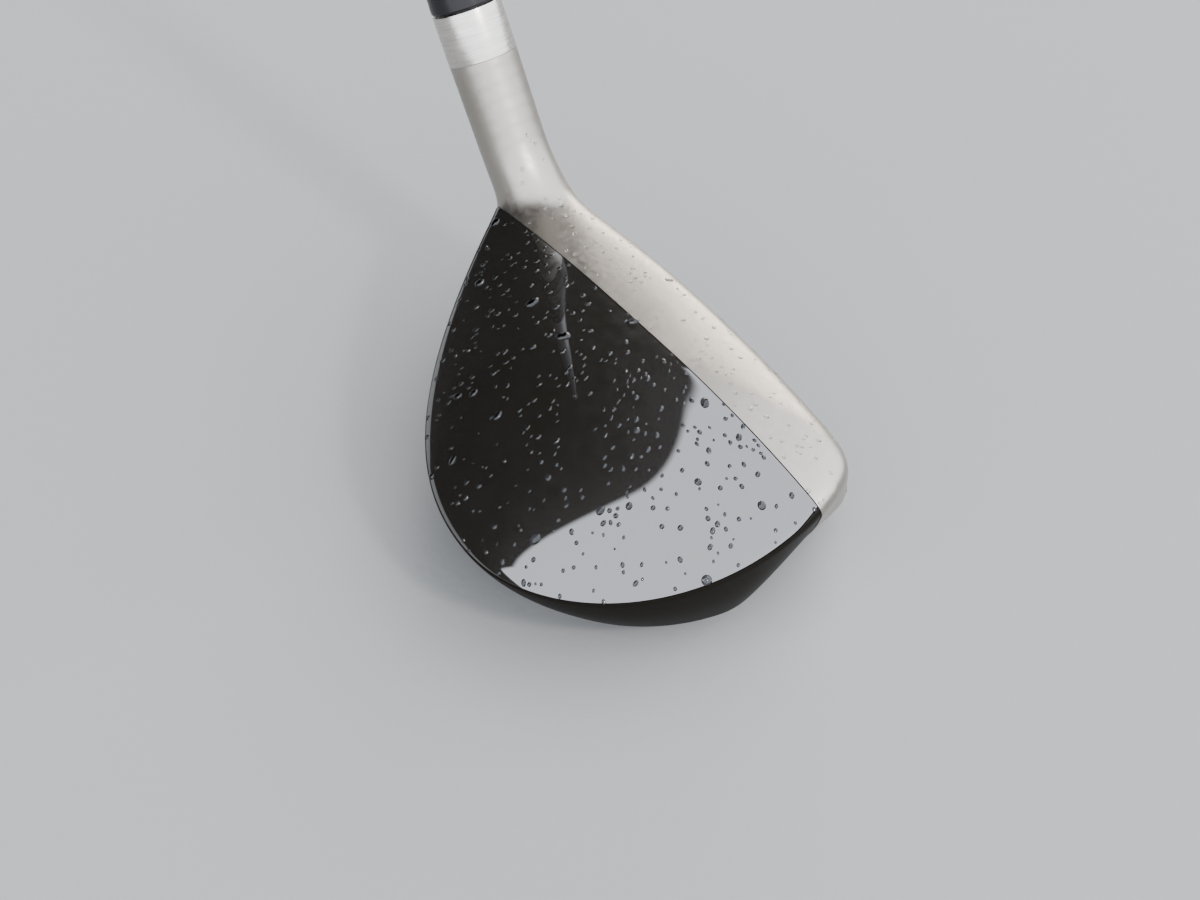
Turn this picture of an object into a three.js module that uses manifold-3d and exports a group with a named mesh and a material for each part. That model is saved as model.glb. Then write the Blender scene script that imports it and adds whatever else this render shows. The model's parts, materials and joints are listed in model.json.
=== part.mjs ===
// Hybrid golf club: hollow steel head with a bonded crown, hosel with collar and ferrule,
// tapered composite shaft and rubber grip. Millimetres, +Z up.
// +X points to the toe, +Y to the target, and the origin is on the flat of the sole.
import * as THREE from "three";
import { mergeVertices } from "three/addons/utils/BufferGeometryUtils.js";
import Module from "manifold-3d";

const wasm = await Module();
wasm.setup();

// ---- Driving dimensions -------------------------------------------------------------------

const GAP = 0.3; // clearance between neighbouring pieces, filled by weld, glue or air

// Head, seen from above at the rim, as reaches from the origin
const TOE_REACH = 45.5;
const HEEL_REACH = 58.5;
const BACK_REACH = 34;
const FRONT_REACH = 27; // to the top edge of the face, at mid-face
const TOE_CORNER = 11; // how far the rounded toe corner runs along the face
const TOE_SIDE_Y = 7; // where the toe side is widest
const BACK_X = 8; // where the back reaches furthest
const WAIST_FROM_HEEL = 8.5; // where the back runs into the heel, just behind the hosel
const WAIST_Y = 9;

// Pulls of the curves that make the rim, away from their end points
const HEEL_TURN = 5;
const WAIST_ENTRY_X = 4;
const WAIST_ENTRY_Y = 5.6;
const WAIST_EXIT_X = 19;
const WAIST_EXIT_Y = 28;
const BACK_PULL_HEEL = 22;
const BACK_PULL_TOE = 19;
const TOE_SIDE_PULL = 23;
const TOE_CORNER_PULL_Y = 6;
const TOE_CORNER_PULL_X = 3;
const FACE_BULGE = 2; // the top of the face bows forward by three quarters of this
const FACE_BULGE_PULL = 22;
const HEEL_CORNER = 18; // where the top of the face ends
const HEEL_CORNER_PULL = 10;
const HEEL_CORNER_ROUND = 1.5;

// Rim plane, where the crown meets the skirt
const RIM_Z = 27;
const RIM_TILT_X = -0.055;
const RIM_TILT_Y = 0.245;

// Crown
const PEAK_X = -4;
const PEAK_Y = 9;
const CROWN_HEIGHT = 8.575; // of the peak, over the rim plane below it
const CROWN_FULLNESS = 0.25; // share of the crown's fall that is kept for near the rim
const TOPLINE_RISE = 1; // extra height of the face's top edge over the rim plane
const FACE_BAND = 13.5; // width of the bare front body on the crown, up to the black rear
const SEAM_DROP = 1; // the seam is placed at this height below the peak
const SEAM_TILT = THREE.MathUtils.degToRad(15); // the seam runs forward on its way down

// Face
const LOFT = THREE.MathUtils.degToRad(21);
const LEADING_EDGE_Z = 3;
const FACE_ROCKER = 4.5; // rise of the leading edge at the toe and heel ends
const FACE_BLEND = 4; // how far behind its top edge the face's shape starts to give way

// Skirt and sole
const SKIRT_INSET_TOE = 7;
const FACE_INSET_TOE = 15;
const SKIRT_INSET_BACK = 7.5;
const SKIRT_INSET_HEEL = 10.5;
const SKIRT_BULGE = 0.9;
const SOLE_EDGE_BACK_Z = 8.5;
const SOLE_EDGE_SIDE_Z = 7;
const SOLE_FLAT_SHARE = 0.34;
const SOLE_CAMBER = 1.8;

// Walls of the head
const BODY_WALL = 1.3;
const LAP_WALL = 1.1; // thickness of the lips that lap inside the neighbouring shell
const LAP_LENGTH = 4.5;
const LAP_FROM_HOSEL = 14; // the front body's lip stops short of the hosel's axis by this
const STIFFENER_DEPTH = 3; // width of the thicker band along the seam
const LIP_ROOT = 1; // how far the lips run into their own shell
const FACE_WALL = 2.3;
const FACE_SEAT = 2; // width of the ledge behind the face plate
const FACE_MARGIN = 3.6; // bare frame left round the face plate
const FACE_FRAME = 2.5; // how far the thicker frame runs outside the face plate
const FACE_FROM_HOSEL = 5; // the face plate's margin starts this far from the hosel's axis
const FACE_CORNER = 5;
const WINDOW_DEPTH = 8; // the face plate lies in front of this distance from its top edge
const SCORE_LINES = 8;
const SCORE_PITCH = 2.8;
const SCORE_WIDTH = 0.8;
const SCORE_DEPTH = 0.4;
const SCORE_HALF_LENGTH = 26;

// Hosel, on an axis that leans to the heel
const LIE = THREE.MathUtils.degToRad(60);
const AXIS_FROM_HEEL = 24.5; // where the axis meets the ground, from the heel's end
const AXIS_FROM_FACE = 5; // how far the axis lies behind the top edge of the face
const HOSEL_WALL = 1.75;
const HOSEL_TOP = 66; // distances along the axis start where it meets the ground
const HOSEL_ROOT = 24;
const NECK_FLARE = 9; // how far the neck widens towards the toe where it runs into the head
const NECK_START = 49;
const BORE_BOTTOM = 30;
const COLLAR_LENGTH = 9.9;
const COLLAR_EDGE = 0.25; // chamfer
const FERRULE_LENGTH = 24;
const FERRULE_LIP = 0.5; // wall left at the ferrule's thin top
const FERRULE_FULLNESS = 1.4;

// Shaft
const CLUB_LENGTH = 1015;
const TIP_RADIUS = 4.7;
const BUTT_RADIUS = 7.6;
const TIP_PARALLEL = 75; // length of the tip before its taper starts
const SHAFT_WALL = 1.4;
const STOP_LENGTH = 2.5;
const TIP_WEIGHT_LENGTH = 18;
const TIP_WEIGHT_NOSE = 3;

// Grip
const GRIP_LENGTH = 268;
const GRIP_MOUTH_WALL = 1.64;
const GRIP_BUTT_WALL = 4;
const GRIP_WAIST = 0.7; // where along the grip its taper changes
const GRIP_WAIST_FULLNESS = 0.72;
const MOUTH_ROLL = 1.2; // rounded rim of the mouth
const MOUTH_ROLL_RISE = 0.2;
const BUTT_BEAD_LENGTH = 3; // the grip swells a little under its cap
const BUTT_BEAD_RISE = 0.4;
const CAP_LENGTH = 7;
const CAP_LEDGE = 0.6;
const CAP_LIP = 1.2; // how far the cap stands out past the grip
const CAP_LIP_LENGTH = 1.8;
const CAP_ROUND = 1.6;
const CAP_ROUND_TOP = 1;
const CAP_FLAT_INSET = 4.5;
const CAP_PLUG_LENGTH = 6;
const TAPE_THICKNESS = 0.4;
const TAPE_FROM_MOUTH = 8;
const TAPE_FROM_BUTT = 2;
const VENT_RADIUS = 1;

// Swing weight screw in the back of the sole
const PORT_X = 9;
const PORT_FROM_BACK = 17;
const SCREW_HEAD_RADIUS = 5.6;
const SCREW_HEAD_LENGTH = 2.6;
const SCREW_SHANK_RADIUS = 3.6;
const SCREW_SHANK_LENGTH = 5.2;
const SCREW_RECESS = 0.5; // how far the head sits below the sole
const SOCKET_RADIUS = 2.3;
const SOCKET_DEPTH = 2.6;
const WASHER_THICKNESS = 0.7;
const PORT_WALL = 1.6;
const BOSS_WALL = 1.8;
const PORT_PROUD = 1; // blanks start this far outside the sole, and are cut back to it
const PORT_INSET = 0.05; // the port's rim sits just under the sole

// Sole badge
const BADGE_FROM_TOE = 20.5;
const BADGE_Y = 3;
const BADGE_LENGTH = 17;
const BADGE_WIDTH = 11;
const BADGE_THICKNESS = 1;
const BADGE_RECESS = 0.2;
const BADGE_LEDGE = 2.5; // how far the thicker pad behind the badge runs past it

// Ballast and damping inside the head
const BALLAST_FROM_PORT = 2.4; // space left beside the port's boss
const BALLAST_LENGTH = 21;
const BALLAST_WIDTH = 9;
const BALLAST_FROM_BACK = 10;
const BALLAST_HEIGHT = 7;
const TOE_BALLAST_DEPTH = 15.5; // from the toe's end inwards
const TOE_BALLAST_WIDTH = 8;
const TOE_BALLAST_Y = -14;
const TOE_BALLAST_HEIGHT = 11;
const HOT_MELT_X = -12;
const HOT_MELT_Y = -3;
const HOT_MELT_RADIUS = 10;
const HOT_MELT_HEIGHT = 4.5;

// Fineness of the round shapes
const AROUND = 48;
const CROWN_ROWS = 8;
const SIDE_ROWS = 5;
const SOLE_ROWS = 6;
const ROUND = 28;
const NECK_ROWS = 9;

// ---- Places that follow from them ----------------------------------------------------------

const axisX = AXIS_FROM_HEEL - HEEL_REACH;
const axisY = FRONT_REACH - AXIS_FROM_FACE;
const waistX = WAIST_FROM_HEEL - HEEL_REACH;
const boreRadius = TIP_RADIUS + GAP;
const hoselRadius = boreRadius + HOSEL_WALL;
const portY = PORT_FROM_BACK - BACK_REACH;
const badgeX = TOE_REACH - BADGE_FROM_TOE;

// ---- Solids -------------------------------------------------------------------------------

function toSolid(geometry) {
  const bare = geometry.clone();
  bare.deleteAttribute("normal");
  bare.deleteAttribute("uv");
  const merged = mergeVertices(bare, 1e-4);
  return new wasm.Manifold(new wasm.Mesh({
    numProp: 3,
    vertProperties: new Float32Array(merged.attributes.position.array),
    triVerts: new Uint32Array(merged.index.array),
  }));
}

function toGeometry(solid) {
  const mesh = solid.getMesh();
  const geometry = new THREE.BufferGeometry();
  geometry.setAttribute("position", new THREE.BufferAttribute(mesh.vertProperties, 3));
  geometry.setIndex(new THREE.BufferAttribute(mesh.triVerts, 1));
  geometry.computeVertexNormals();
  return geometry;
}

function boxBetween(low, high) {
  const size = new THREE.Vector3().subVectors(high, low);
  const middle = new THREE.Vector3().addVectors(low, high).multiplyScalar(0.5);
  const box = new THREE.BoxGeometry(size.x, size.y, size.z);
  return toSolid(box.translate(middle.x, middle.y, middle.z));
}

// A turned part from [radius, height] pairs, about the local +Y axis; the profile is closed.
function turned(profile) {
  const points = profile.map(([radius, height]) => new THREE.Vector2(radius, height));
  return new THREE.LatheGeometry([...points, points[0].clone()], ROUND);
}

// A tube with straight ends between two heights, its radii given at both ends.
function sleeve(low, high, outerLow, outerHigh, innerLow, innerHigh) {
  return turned([[innerLow, low], [outerLow, low], [outerHigh, high], [innerHigh, high]]);
}

// ---- Head form ----------------------------------------------------------------------------

const slope = (edge0, edge1, value) => THREE.MathUtils.smoothstep(value, edge0, edge1);
const lerp = THREE.MathUtils.lerp;
const rimPlaneZ = (x, y) => RIM_Z + RIM_TILT_X * x + RIM_TILT_Y * y;
const crownPeak = new THREE.Vector3(PEAK_X, PEAK_Y, rimPlaneZ(PEAK_X, PEAK_Y) + CROWN_HEIGHT);
const seamY = FRONT_REACH - FACE_BAND;
const seamZ = crownPeak.z - SEAM_DROP;

// Rim of the head in plan, from the heel round the back and toe to the face.
function rimOutline() {
  const shape = new THREE.Shape();
  shape.moveTo(-HEEL_REACH, axisY);
  shape.bezierCurveTo(
    -HEEL_REACH, axisY - HEEL_TURN, waistX - WAIST_ENTRY_X, WAIST_Y + WAIST_ENTRY_Y, waistX, WAIST_Y,
  );
  shape.bezierCurveTo(
    waistX + WAIST_EXIT_X, WAIST_Y - WAIST_EXIT_Y, BACK_X - BACK_PULL_HEEL, -BACK_REACH,
    BACK_X, -BACK_REACH,
  );
  shape.bezierCurveTo(
    BACK_X + BACK_PULL_TOE, -BACK_REACH, TOE_REACH, TOE_SIDE_Y - TOE_SIDE_PULL, TOE_REACH, TOE_SIDE_Y,
  );
  shape.bezierCurveTo(
    TOE_REACH, FRONT_REACH - TOE_CORNER_PULL_Y, TOE_REACH - TOE_CORNER_PULL_X, FRONT_REACH,
    TOE_REACH - TOE_CORNER, FRONT_REACH,
  );
  shape.bezierCurveTo(
    TOE_REACH - TOE_CORNER - FACE_BULGE_PULL, FRONT_REACH + FACE_BULGE,
    -HEEL_REACH + HEEL_CORNER + FACE_BULGE_PULL, FRONT_REACH + FACE_BULGE,
    -HEEL_REACH + HEEL_CORNER, FRONT_REACH,
  );
  shape.bezierCurveTo(
    -HEEL_REACH + HEEL_CORNER - HEEL_CORNER_PULL, FRONT_REACH,
    -HEEL_REACH, FRONT_REACH - HEEL_CORNER_ROUND, -HEEL_REACH, axisY,
  );
  return shape;
}

// How much a rim point belongs to the face: 1 along the face, 0 round the back.
const faceShare = (plan) => slope(seamY, FRONT_REACH - FACE_BLEND, plan.y);
const acrossShare = (plan) => plan.x / (plan.x > 0 ? TOE_REACH : HEEL_REACH);

function rimPoint(plan) {
  const rise = TOPLINE_RISE * faceShare(plan) * (1 - acrossShare(plan) ** 2);
  return new THREE.Vector3(plan.x, plan.y, rimPlaneZ(plan.x, plan.y) + rise);
}

function soleEdgePoint(plan, top) {
  const share = faceShare(plan);
  const toward = acrossShare(plan);
  const toeInset = lerp(SKIRT_INSET_TOE, FACE_INSET_TOE, slope(0, FRONT_REACH, plan.y));
  const inset = plan.x > 0 ? -toeInset : SKIRT_INSET_HEEL;
  const backward = Math.max(0, -plan.y / BACK_REACH);
  const skirtZ = lerp(SOLE_EDGE_SIDE_Z, SOLE_EDGE_BACK_Z, backward);
  const z = lerp(skirtZ, LEADING_EDGE_Z + FACE_ROCKER * toward ** 2, share);
  const forward = (top.z - z) * Math.tan(LOFT) * share;
  return new THREE.Vector3(
    plan.x + inset * toward ** 2,
    top.y + forward + SKIRT_INSET_BACK * backward,
    z,
  );
}

const rimPlan = rimOutline().getSpacedPoints(AROUND);
const FORM_ROWS = CROWN_ROWS + SIDE_ROWS + SOLE_ROWS;

// A point on the outside of the head: column round the rim, row from the crown's peak down.
function formPoint(column, row) {
  const plan = rimPlan[column % AROUND];
  const top = rimPoint(plan);
  const low = soleEdgePoint(plan, top);
  if (row <= CROWN_ROWS) {
    const out = row / CROWN_ROWS;
    const point = crownPeak.clone().lerp(top, out);
    point.z = lerp(crownPeak.z, top.z, lerp(out ** 2, out ** 4, CROWN_FULLNESS));
    return point;
  }
  if (row <= CROWN_ROWS + SIDE_ROWS) {
    const down = (row - CROWN_ROWS) / SIDE_ROWS;
    const outward = new THREE.Vector3(top.x, top.y, 0).normalize();
    const swell = SKIRT_BULGE * (1 - faceShare(plan)) * Math.sin(Math.PI * down);
    return top.lerp(low, down).addScaledVector(outward, swell);
  }
  const out = (FORM_ROWS - row) / SOLE_ROWS;
  const climb = Math.max(0, (out - SOLE_FLAT_SHARE) / (1 - SOLE_FLAT_SHARE));
  return new THREE.Vector3(low.x * out, low.y * out, low.z * climb ** SOLE_CAMBER);
}

function formGeometry() {
  const ball = new THREE.SphereGeometry(1, AROUND, FORM_ROWS);
  const position = ball.attributes.position;
  for (let row = 0; row <= FORM_ROWS; row += 1) {
    for (let column = 0; column <= AROUND; column += 1) {
      const point = formPoint(column, row);
      position.setXYZ(row * (AROUND + 1) + column, point.x, point.y, point.z);
    }
  }
  ball.deleteAttribute("normal");
  ball.deleteAttribute("uv");
  return mergeVertices(ball, 1e-4);
}

const outerForm = formGeometry();
outerForm.computeBoundingBox();
const formMiddle = outerForm.boundingBox.getCenter(new THREE.Vector3());
const formHalf = outerForm.boundingBox.getSize(new THREE.Vector3()).multiplyScalar(0.5);

// The head form drawn in towards its middle, so that a wall of the given depth is left outside.
function formAt(depth) {
  const { x, y, z } = formMiddle;
  const form = outerForm.clone().translate(-x, -y, -z);
  form.scale(1 - depth / formHalf.x, 1 - depth / formHalf.y, 1 - depth / formHalf.z);
  return toSolid(form.translate(x, y, z));
}

const layer = (from, to) => formAt(from).subtract(formAt(to));

// ---- Cutting volumes ----------------------------------------------------------------------

const FAR = 200;

// A box that ends on the seam plane moved forward by a distance; heights follow the tilt.
function seamBox(lowY, highY, lowX = -FAR) {
  const box = new THREE.BoxGeometry(FAR - lowX, highY - lowY, 2 * FAR);
  box.translate((FAR + lowX) / 2, (lowY + highY) / 2, 0);
  return toSolid(box.rotateX(SEAM_TILT).translate(0, seamY, seamZ));
}

const behind = (forward) => seamBox(-FAR, forward);
const inFrontOf = (forward) => seamBox(forward, FAR);

// Everything above the rim plane raised by a distance.
function aboveRim(raise) {
  const normal = new THREE.Vector3(-RIM_TILT_X, -RIM_TILT_Y, 1).normalize();
  const turn = new THREE.Quaternion().setFromUnitVectors(new THREE.Vector3(0, 0, 1), normal);
  const box = new THREE.BoxGeometry(2 * FAR, 2 * FAR, FAR).translate(0, 0, FAR / 2);
  return toSolid(box.applyQuaternion(turn).translate(0, 0, RIM_Z + raise));
}

// An upright prism with rounded corners, between two heights.
function uprightPrism(x, y, length, width, margin, low, high) {
  const radius = width / 3 + margin;
  const halfX = length / 2 + margin;
  const halfY = width / 2 + margin;
  const shape = new THREE.Shape();
  shape.absarc(halfX - radius, halfY - radius, radius, 0, Math.PI / 2);
  shape.absarc(radius - halfX, halfY - radius, radius, Math.PI / 2, Math.PI);
  shape.absarc(radius - halfX, radius - halfY, radius, Math.PI, 1.5 * Math.PI);
  shape.absarc(halfX - radius, radius - halfY, radius, 1.5 * Math.PI, 2 * Math.PI);
  const prism = new THREE.ExtrudeGeometry(shape, {
    depth: high - low, bevelEnabled: false, curveSegments: 6,
  });
  return toSolid(prism.translate(x, y, low));
}

// The window of the face plate, as a prism along +Y; it follows the face's own outline.
function faceWindow(inset) {
  const heelX = axisX + FACE_FROM_HOSEL + inset;
  const toeX = TOE_REACH - TOE_CORNER - inset;
  const droop = (x) => (x / TOE_REACH) ** 2;
  const low = (x) => LEADING_EDGE_Z + FACE_ROCKER * droop(x) + inset;
  const high = (x) => rimPlaneZ(x, FRONT_REACH) + TOPLINE_RISE * (1 - droop(x)) - inset;
  const crest = 2 * high(0) - (high(toeX) + high(heelX)) / 2;
  const shape = new THREE.Shape();
  shape.moveTo(heelX + FACE_CORNER, low(heelX));
  shape.quadraticCurveTo(0, low(0), toeX - FACE_CORNER, low(toeX));
  shape.quadraticCurveTo(toeX, low(toeX), toeX, low(toeX) + FACE_CORNER);
  shape.lineTo(toeX, high(toeX) - FACE_CORNER);
  shape.quadraticCurveTo(toeX, high(toeX), toeX - FACE_CORNER, high(toeX - FACE_CORNER));
  shape.quadraticCurveTo(0, crest, heelX + FACE_CORNER, high(heelX));
  shape.quadraticCurveTo(heelX, high(heelX), heelX, high(heelX) - FACE_CORNER);
  shape.lineTo(heelX, low(heelX) + FACE_CORNER);
  shape.quadraticCurveTo(heelX, low(heelX), heelX + FACE_CORNER, low(heelX));
  const prism = new THREE.ExtrudeGeometry(shape, {
    depth: FAR, bevelEnabled: false, curveSegments: 10,
  });
  const upright = new THREE.Matrix4().makeBasis(
    new THREE.Vector3(1, 0, 0), new THREE.Vector3(0, 0, 1), new THREE.Vector3(0, -1, 0),
  );
  return toSolid(prism.applyMatrix4(upright).translate(0, FRONT_REACH - WINDOW_DEPTH + FAR, 0));
}

// ---- Hosel axis ---------------------------------------------------------------------------

// Local +Y of this frame runs up the shaft, local +X leans to the toe.
const up = new THREE.Vector3(-Math.cos(LIE), 0, Math.sin(LIE));
const toToe = new THREE.Vector3(Math.sin(LIE), 0, Math.cos(LIE));
const shaftFrame = new THREE.Matrix4()
  .makeBasis(toToe, up, new THREE.Vector3().crossVectors(toToe, up))
  .setPosition(axisX, axisY, 0);

const onShaft = (geometry) => toSolid(geometry.clone().applyMatrix4(shaftFrame));

// The neck: a round bar that widens towards the toe where it runs into the head.
function neckBar() {
  const bar = new THREE.CylinderGeometry(1, 1, 1, ROUND, NECK_ROWS);
  const position = bar.attributes.position;
  for (let i = 0; i < position.count; i += 1) {
    const along = lerp(HOSEL_ROOT, HOSEL_TOP, position.getY(i) + 0.5);
    const widening = Math.max(0, (NECK_START - along) / (NECK_START - HOSEL_ROOT));
    const flare = NECK_FLARE * widening ** 2;
    const across = position.getX(i) * (hoselRadius + flare) + flare;
    position.setXYZ(i, across, along, position.getZ(i) * hoselRadius);
  }
  return onShaft(bar);
}

const bore = onShaft(new THREE.CylinderGeometry(boreRadius, boreRadius, FAR, ROUND)
  .translate(0, BORE_BOTTOM + FAR / 2, 0));

// ---- Weight port axis ---------------------------------------------------------------------

// Local +Y of this frame runs out of the sole, square to it at the port.
function soleFrameAt(x, y) {
  const ray = new THREE.Raycaster(
    new THREE.Vector3(x, y, -FAR), new THREE.Vector3(0, 0, 1), 0, 2 * FAR,
  );
  const hit = ray.intersectObject(new THREE.Mesh(outerForm))[0];
  const turn = new THREE.Quaternion().setFromUnitVectors(new THREE.Vector3(0, 1, 0), hit.face.normal);
  return new THREE.Matrix4().compose(hit.point, turn, new THREE.Vector3(1, 1, 1));
}

const portFrame = soleFrameAt(PORT_X, portY);
const onPort = (geometry) => toSolid(geometry.clone().applyMatrix4(portFrame));

const headBottom = -SCREW_RECESS - SCREW_HEAD_LENGTH; // heights along the port, out of the sole
const shankBottom = headBottom - SCREW_SHANK_LENGTH;
const shoulder = headBottom - WASHER_THICKNESS - 2 * GAP;
const portFloor = shankBottom - GAP;
const counterboreRadius = SCREW_HEAD_RADIUS + GAP;
const portRadius = counterboreRadius + PORT_WALL;
const bossRadius = portRadius + GAP + BOSS_WALL;

const disc = (radius, low, high) => new THREE.CylinderGeometry(radius, radius, high - low, ROUND)
  .translate(0, (low + high) / 2, 0);

// ---- Head pieces --------------------------------------------------------------------------

const lapFrom = BODY_WALL + GAP;
const lapTo = lapFrom + LAP_WALL;

function frontBody() {
  const front = inFrontOf(GAP / 2);
  const shell = layer(0, BODY_WALL);
  const stiffener = layer(0, lapTo).intersect(behind(STIFFENER_DEPTH));
  const lip = layer(lapFrom, lapTo)
    .intersect(seamBox(-LAP_LENGTH, LIP_ROOT, axisX + LAP_FROM_HOSEL));
  const frame = layer(0, FACE_WALL + GAP + LAP_WALL)
    .intersect(faceWindow(FACE_MARGIN - FACE_FRAME));
  const seat = faceWindow(FACE_MARGIN).subtract(formAt(FACE_WALL + GAP));
  return shell.add(stiffener).add(frame).intersect(front)
    .add(lip)
    .subtract(seat)
    .subtract(faceWindow(FACE_MARGIN + FACE_SEAT).intersect(inFrontOf(STIFFENER_DEPTH)))
    .add(neckBar().intersect(front))
    .subtract(bore);
}

function facePlate() {
  const blank = layer(0, FACE_WALL).intersect(faceWindow(FACE_MARGIN + GAP));
  const lowest = LEADING_EDGE_Z + FACE_MARGIN + SCORE_PITCH;
  let plate = blank;
  for (let i = 0; i < SCORE_LINES; i += 1) {
    const z = lowest + i * SCORE_PITCH;
    const groove = boxBetween(
      new THREE.Vector3(-SCORE_HALF_LENGTH, 0, z),
      new THREE.Vector3(SCORE_HALF_LENGTH, 2 * FRONT_REACH, z + SCORE_WIDTH),
    );
    plate = plate.subtract(groove.subtract(formAt(SCORE_DEPTH)));
  }
  return plate;
}

function crownShell() {
  return layer(0, BODY_WALL).intersect(aboveRim(GAP / 2)).intersect(behind(-GAP / 2));
}

function badgePrism(margin) {
  return uprightPrism(
    badgeX, BADGE_Y, BADGE_LENGTH, BADGE_WIDTH, margin, -BADGE_LENGTH, BADGE_LENGTH,
  );
}

function rearBody() {
  const rear = behind(-GAP / 2);
  const shell = layer(0, BODY_WALL).subtract(aboveRim(-GAP / 2));
  const rimBand = layer(0, lapTo).subtract(aboveRim(-GAP / 2)).intersect(aboveRim(-LAP_LENGTH));
  const lip = layer(lapFrom, lapTo).intersect(aboveRim(-LAP_LENGTH)).subtract(aboveRim(LAP_LENGTH / 2));
  const clearOfFront = behind(-LAP_LENGTH - GAP);
  const boss = onPort(disc(bossRadius, portFloor - BOSS_WALL, PORT_PROUD)).intersect(formAt(0));
  const pad = layer(0, BADGE_RECESS + BADGE_THICKNESS + GAP + BODY_WALL)
    .intersect(badgePrism(BADGE_LEDGE));
  const pocket = badgePrism(GAP).subtract(formAt(BADGE_RECESS + BADGE_THICKNESS + GAP));
  return shell.intersect(rear)
    .add(rimBand.add(lip).intersect(clearOfFront))
    .add(boss)
    .add(pad.intersect(clearOfFront))
    .subtract(pocket)
    .subtract(onPort(disc(portRadius + GAP, portFloor, FAR)));
}

function soleBadge() {
  return layer(BADGE_RECESS, BADGE_RECESS + BADGE_THICKNESS).intersect(badgePrism(0));
}

// A block cast to the inside of the head, from a corner of its footprint.
function ballast(x, y, length, width, height) {
  const low = new THREE.Vector3(x, y, -height);
  const high = new THREE.Vector3(x + length, y + width, height);
  return formAt(lapFrom).intersect(boxBetween(low, high));
}

function rearBallast() {
  const x = PORT_X - bossRadius - BALLAST_FROM_PORT - BALLAST_LENGTH;
  const y = BALLAST_FROM_BACK - BACK_REACH;
  return ballast(x, y, BALLAST_LENGTH, BALLAST_WIDTH, BALLAST_HEIGHT);
}

function toeBallast() {
  const x = TOE_REACH - TOE_BALLAST_DEPTH;
  return ballast(x, TOE_BALLAST_Y, TOE_BALLAST_DEPTH, TOE_BALLAST_WIDTH, TOE_BALLAST_HEIGHT);
}

function hotMelt() {
  const drop = new THREE.SphereGeometry(1, ROUND, ROUND / 2)
    .scale(HOT_MELT_RADIUS, HOT_MELT_RADIUS, HOT_MELT_HEIGHT + BODY_WALL)
    .translate(HOT_MELT_X, HOT_MELT_Y, 0);
  return formAt(lapFrom).intersect(toSolid(drop));
}

function weightPort() {
  const blank = onPort(disc(portRadius, portFloor + GAP, PORT_PROUD)).intersect(formAt(PORT_INSET));
  return blank
    .subtract(onPort(disc(counterboreRadius, shoulder, FAR)))
    .subtract(onPort(disc(SCREW_SHANK_RADIUS + GAP, -FAR, FAR)));
}

// ---- Pieces on the weight screw's own axis ------------------------------------------------

function weightScrew() {
  const head = disc(SCREW_HEAD_RADIUS, headBottom, -SCREW_RECESS);
  const shank = disc(SCREW_SHANK_RADIUS, shankBottom + 2 * GAP, headBottom + SCREW_HEAD_LENGTH / 2);
  const lobe = new THREE.CylinderGeometry(SOCKET_RADIUS, SOCKET_RADIUS, 2 * SOCKET_DEPTH, 6)
    .translate(0, -SCREW_RECESS, 0);
  return toGeometry(toSolid(head).add(toSolid(shank)).subtract(toSolid(lobe)));
}

function weightWasher() {
  const low = shoulder + GAP;
  const inner = SCREW_SHANK_RADIUS + GAP;
  return sleeve(low, low + WASHER_THICKNESS, SCREW_HEAD_RADIUS, SCREW_HEAD_RADIUS, inner, inner);
}

// ---- Pieces on the shaft axis -------------------------------------------------------------

const collarLow = HOSEL_TOP + GAP;
const ferruleLow = collarLow + COLLAR_LENGTH + GAP;
const ferruleTop = ferruleLow + FERRULE_LENGTH;
const stopLow = BORE_BOTTOM + GAP;
const shaftTip = stopLow + STOP_LENGTH + GAP;
const taperStart = shaftTip + TIP_PARALLEL;
const gripMouth = CLUB_LENGTH - GRIP_LENGTH;
const capLow = CLUB_LENGTH - CAP_LENGTH;
const shaftButt = capLow - GAP;

// Outer radius of the shaft at a distance along the axis.
function shaftRadiusAt(along) {
  const share = THREE.MathUtils.clamp((along - taperStart) / (shaftButt - taperStart), 0, 1);
  return lerp(TIP_RADIUS, BUTT_RADIUS, share);
}

function shaftTube() {
  const profile = [];
  const stations = [shaftTip, taperStart, (taperStart + shaftButt) / 2, gripMouth, shaftButt];
  for (const along of stations) {
    profile.push([shaftRadiusAt(along), along]);
  }
  for (const along of stations.reverse()) {
    profile.push([shaftRadiusAt(along) - SHAFT_WALL, along]);
  }
  return turned(profile);
}

function collar() {
  const top = collarLow + COLLAR_LENGTH;
  return turned([
    [boreRadius, collarLow], [hoselRadius - COLLAR_EDGE, collarLow],
    [hoselRadius, collarLow + COLLAR_EDGE], [hoselRadius, top - COLLAR_EDGE],
    [hoselRadius - COLLAR_EDGE, top], [boreRadius, top],
  ]);
}

function ferrule() {
  const profile = [[boreRadius, ferruleLow]];
  const steps = 6;
  for (let i = 0; i <= steps; i += 1) {
    const share = i / steps;
    const radius = lerp(hoselRadius, boreRadius + FERRULE_LIP, share ** FERRULE_FULLNESS);
    profile.push([radius, lerp(ferruleLow, ferruleTop, share)]);
  }
  profile.push([boreRadius, ferruleTop]);
  return turned(profile);
}

function tipWeight() {
  const radius = TIP_RADIUS - SHAFT_WALL - GAP;
  return turned([
    [0, shaftTip], [radius, shaftTip], [radius, shaftTip + TIP_WEIGHT_LENGTH - TIP_WEIGHT_NOSE],
    [0, shaftTip + TIP_WEIGHT_LENGTH],
  ]);
}

const tapeInner = (along) => shaftRadiusAt(along) + GAP;
const tapeOuter = (along) => tapeInner(along) + TAPE_THICKNESS;
const gripInner = (along) => tapeOuter(along) + GAP;
const mouthRadius = gripInner(gripMouth) + GRIP_MOUTH_WALL;
const buttRadius = gripInner(shaftButt) + GRIP_BUTT_WALL;

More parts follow.
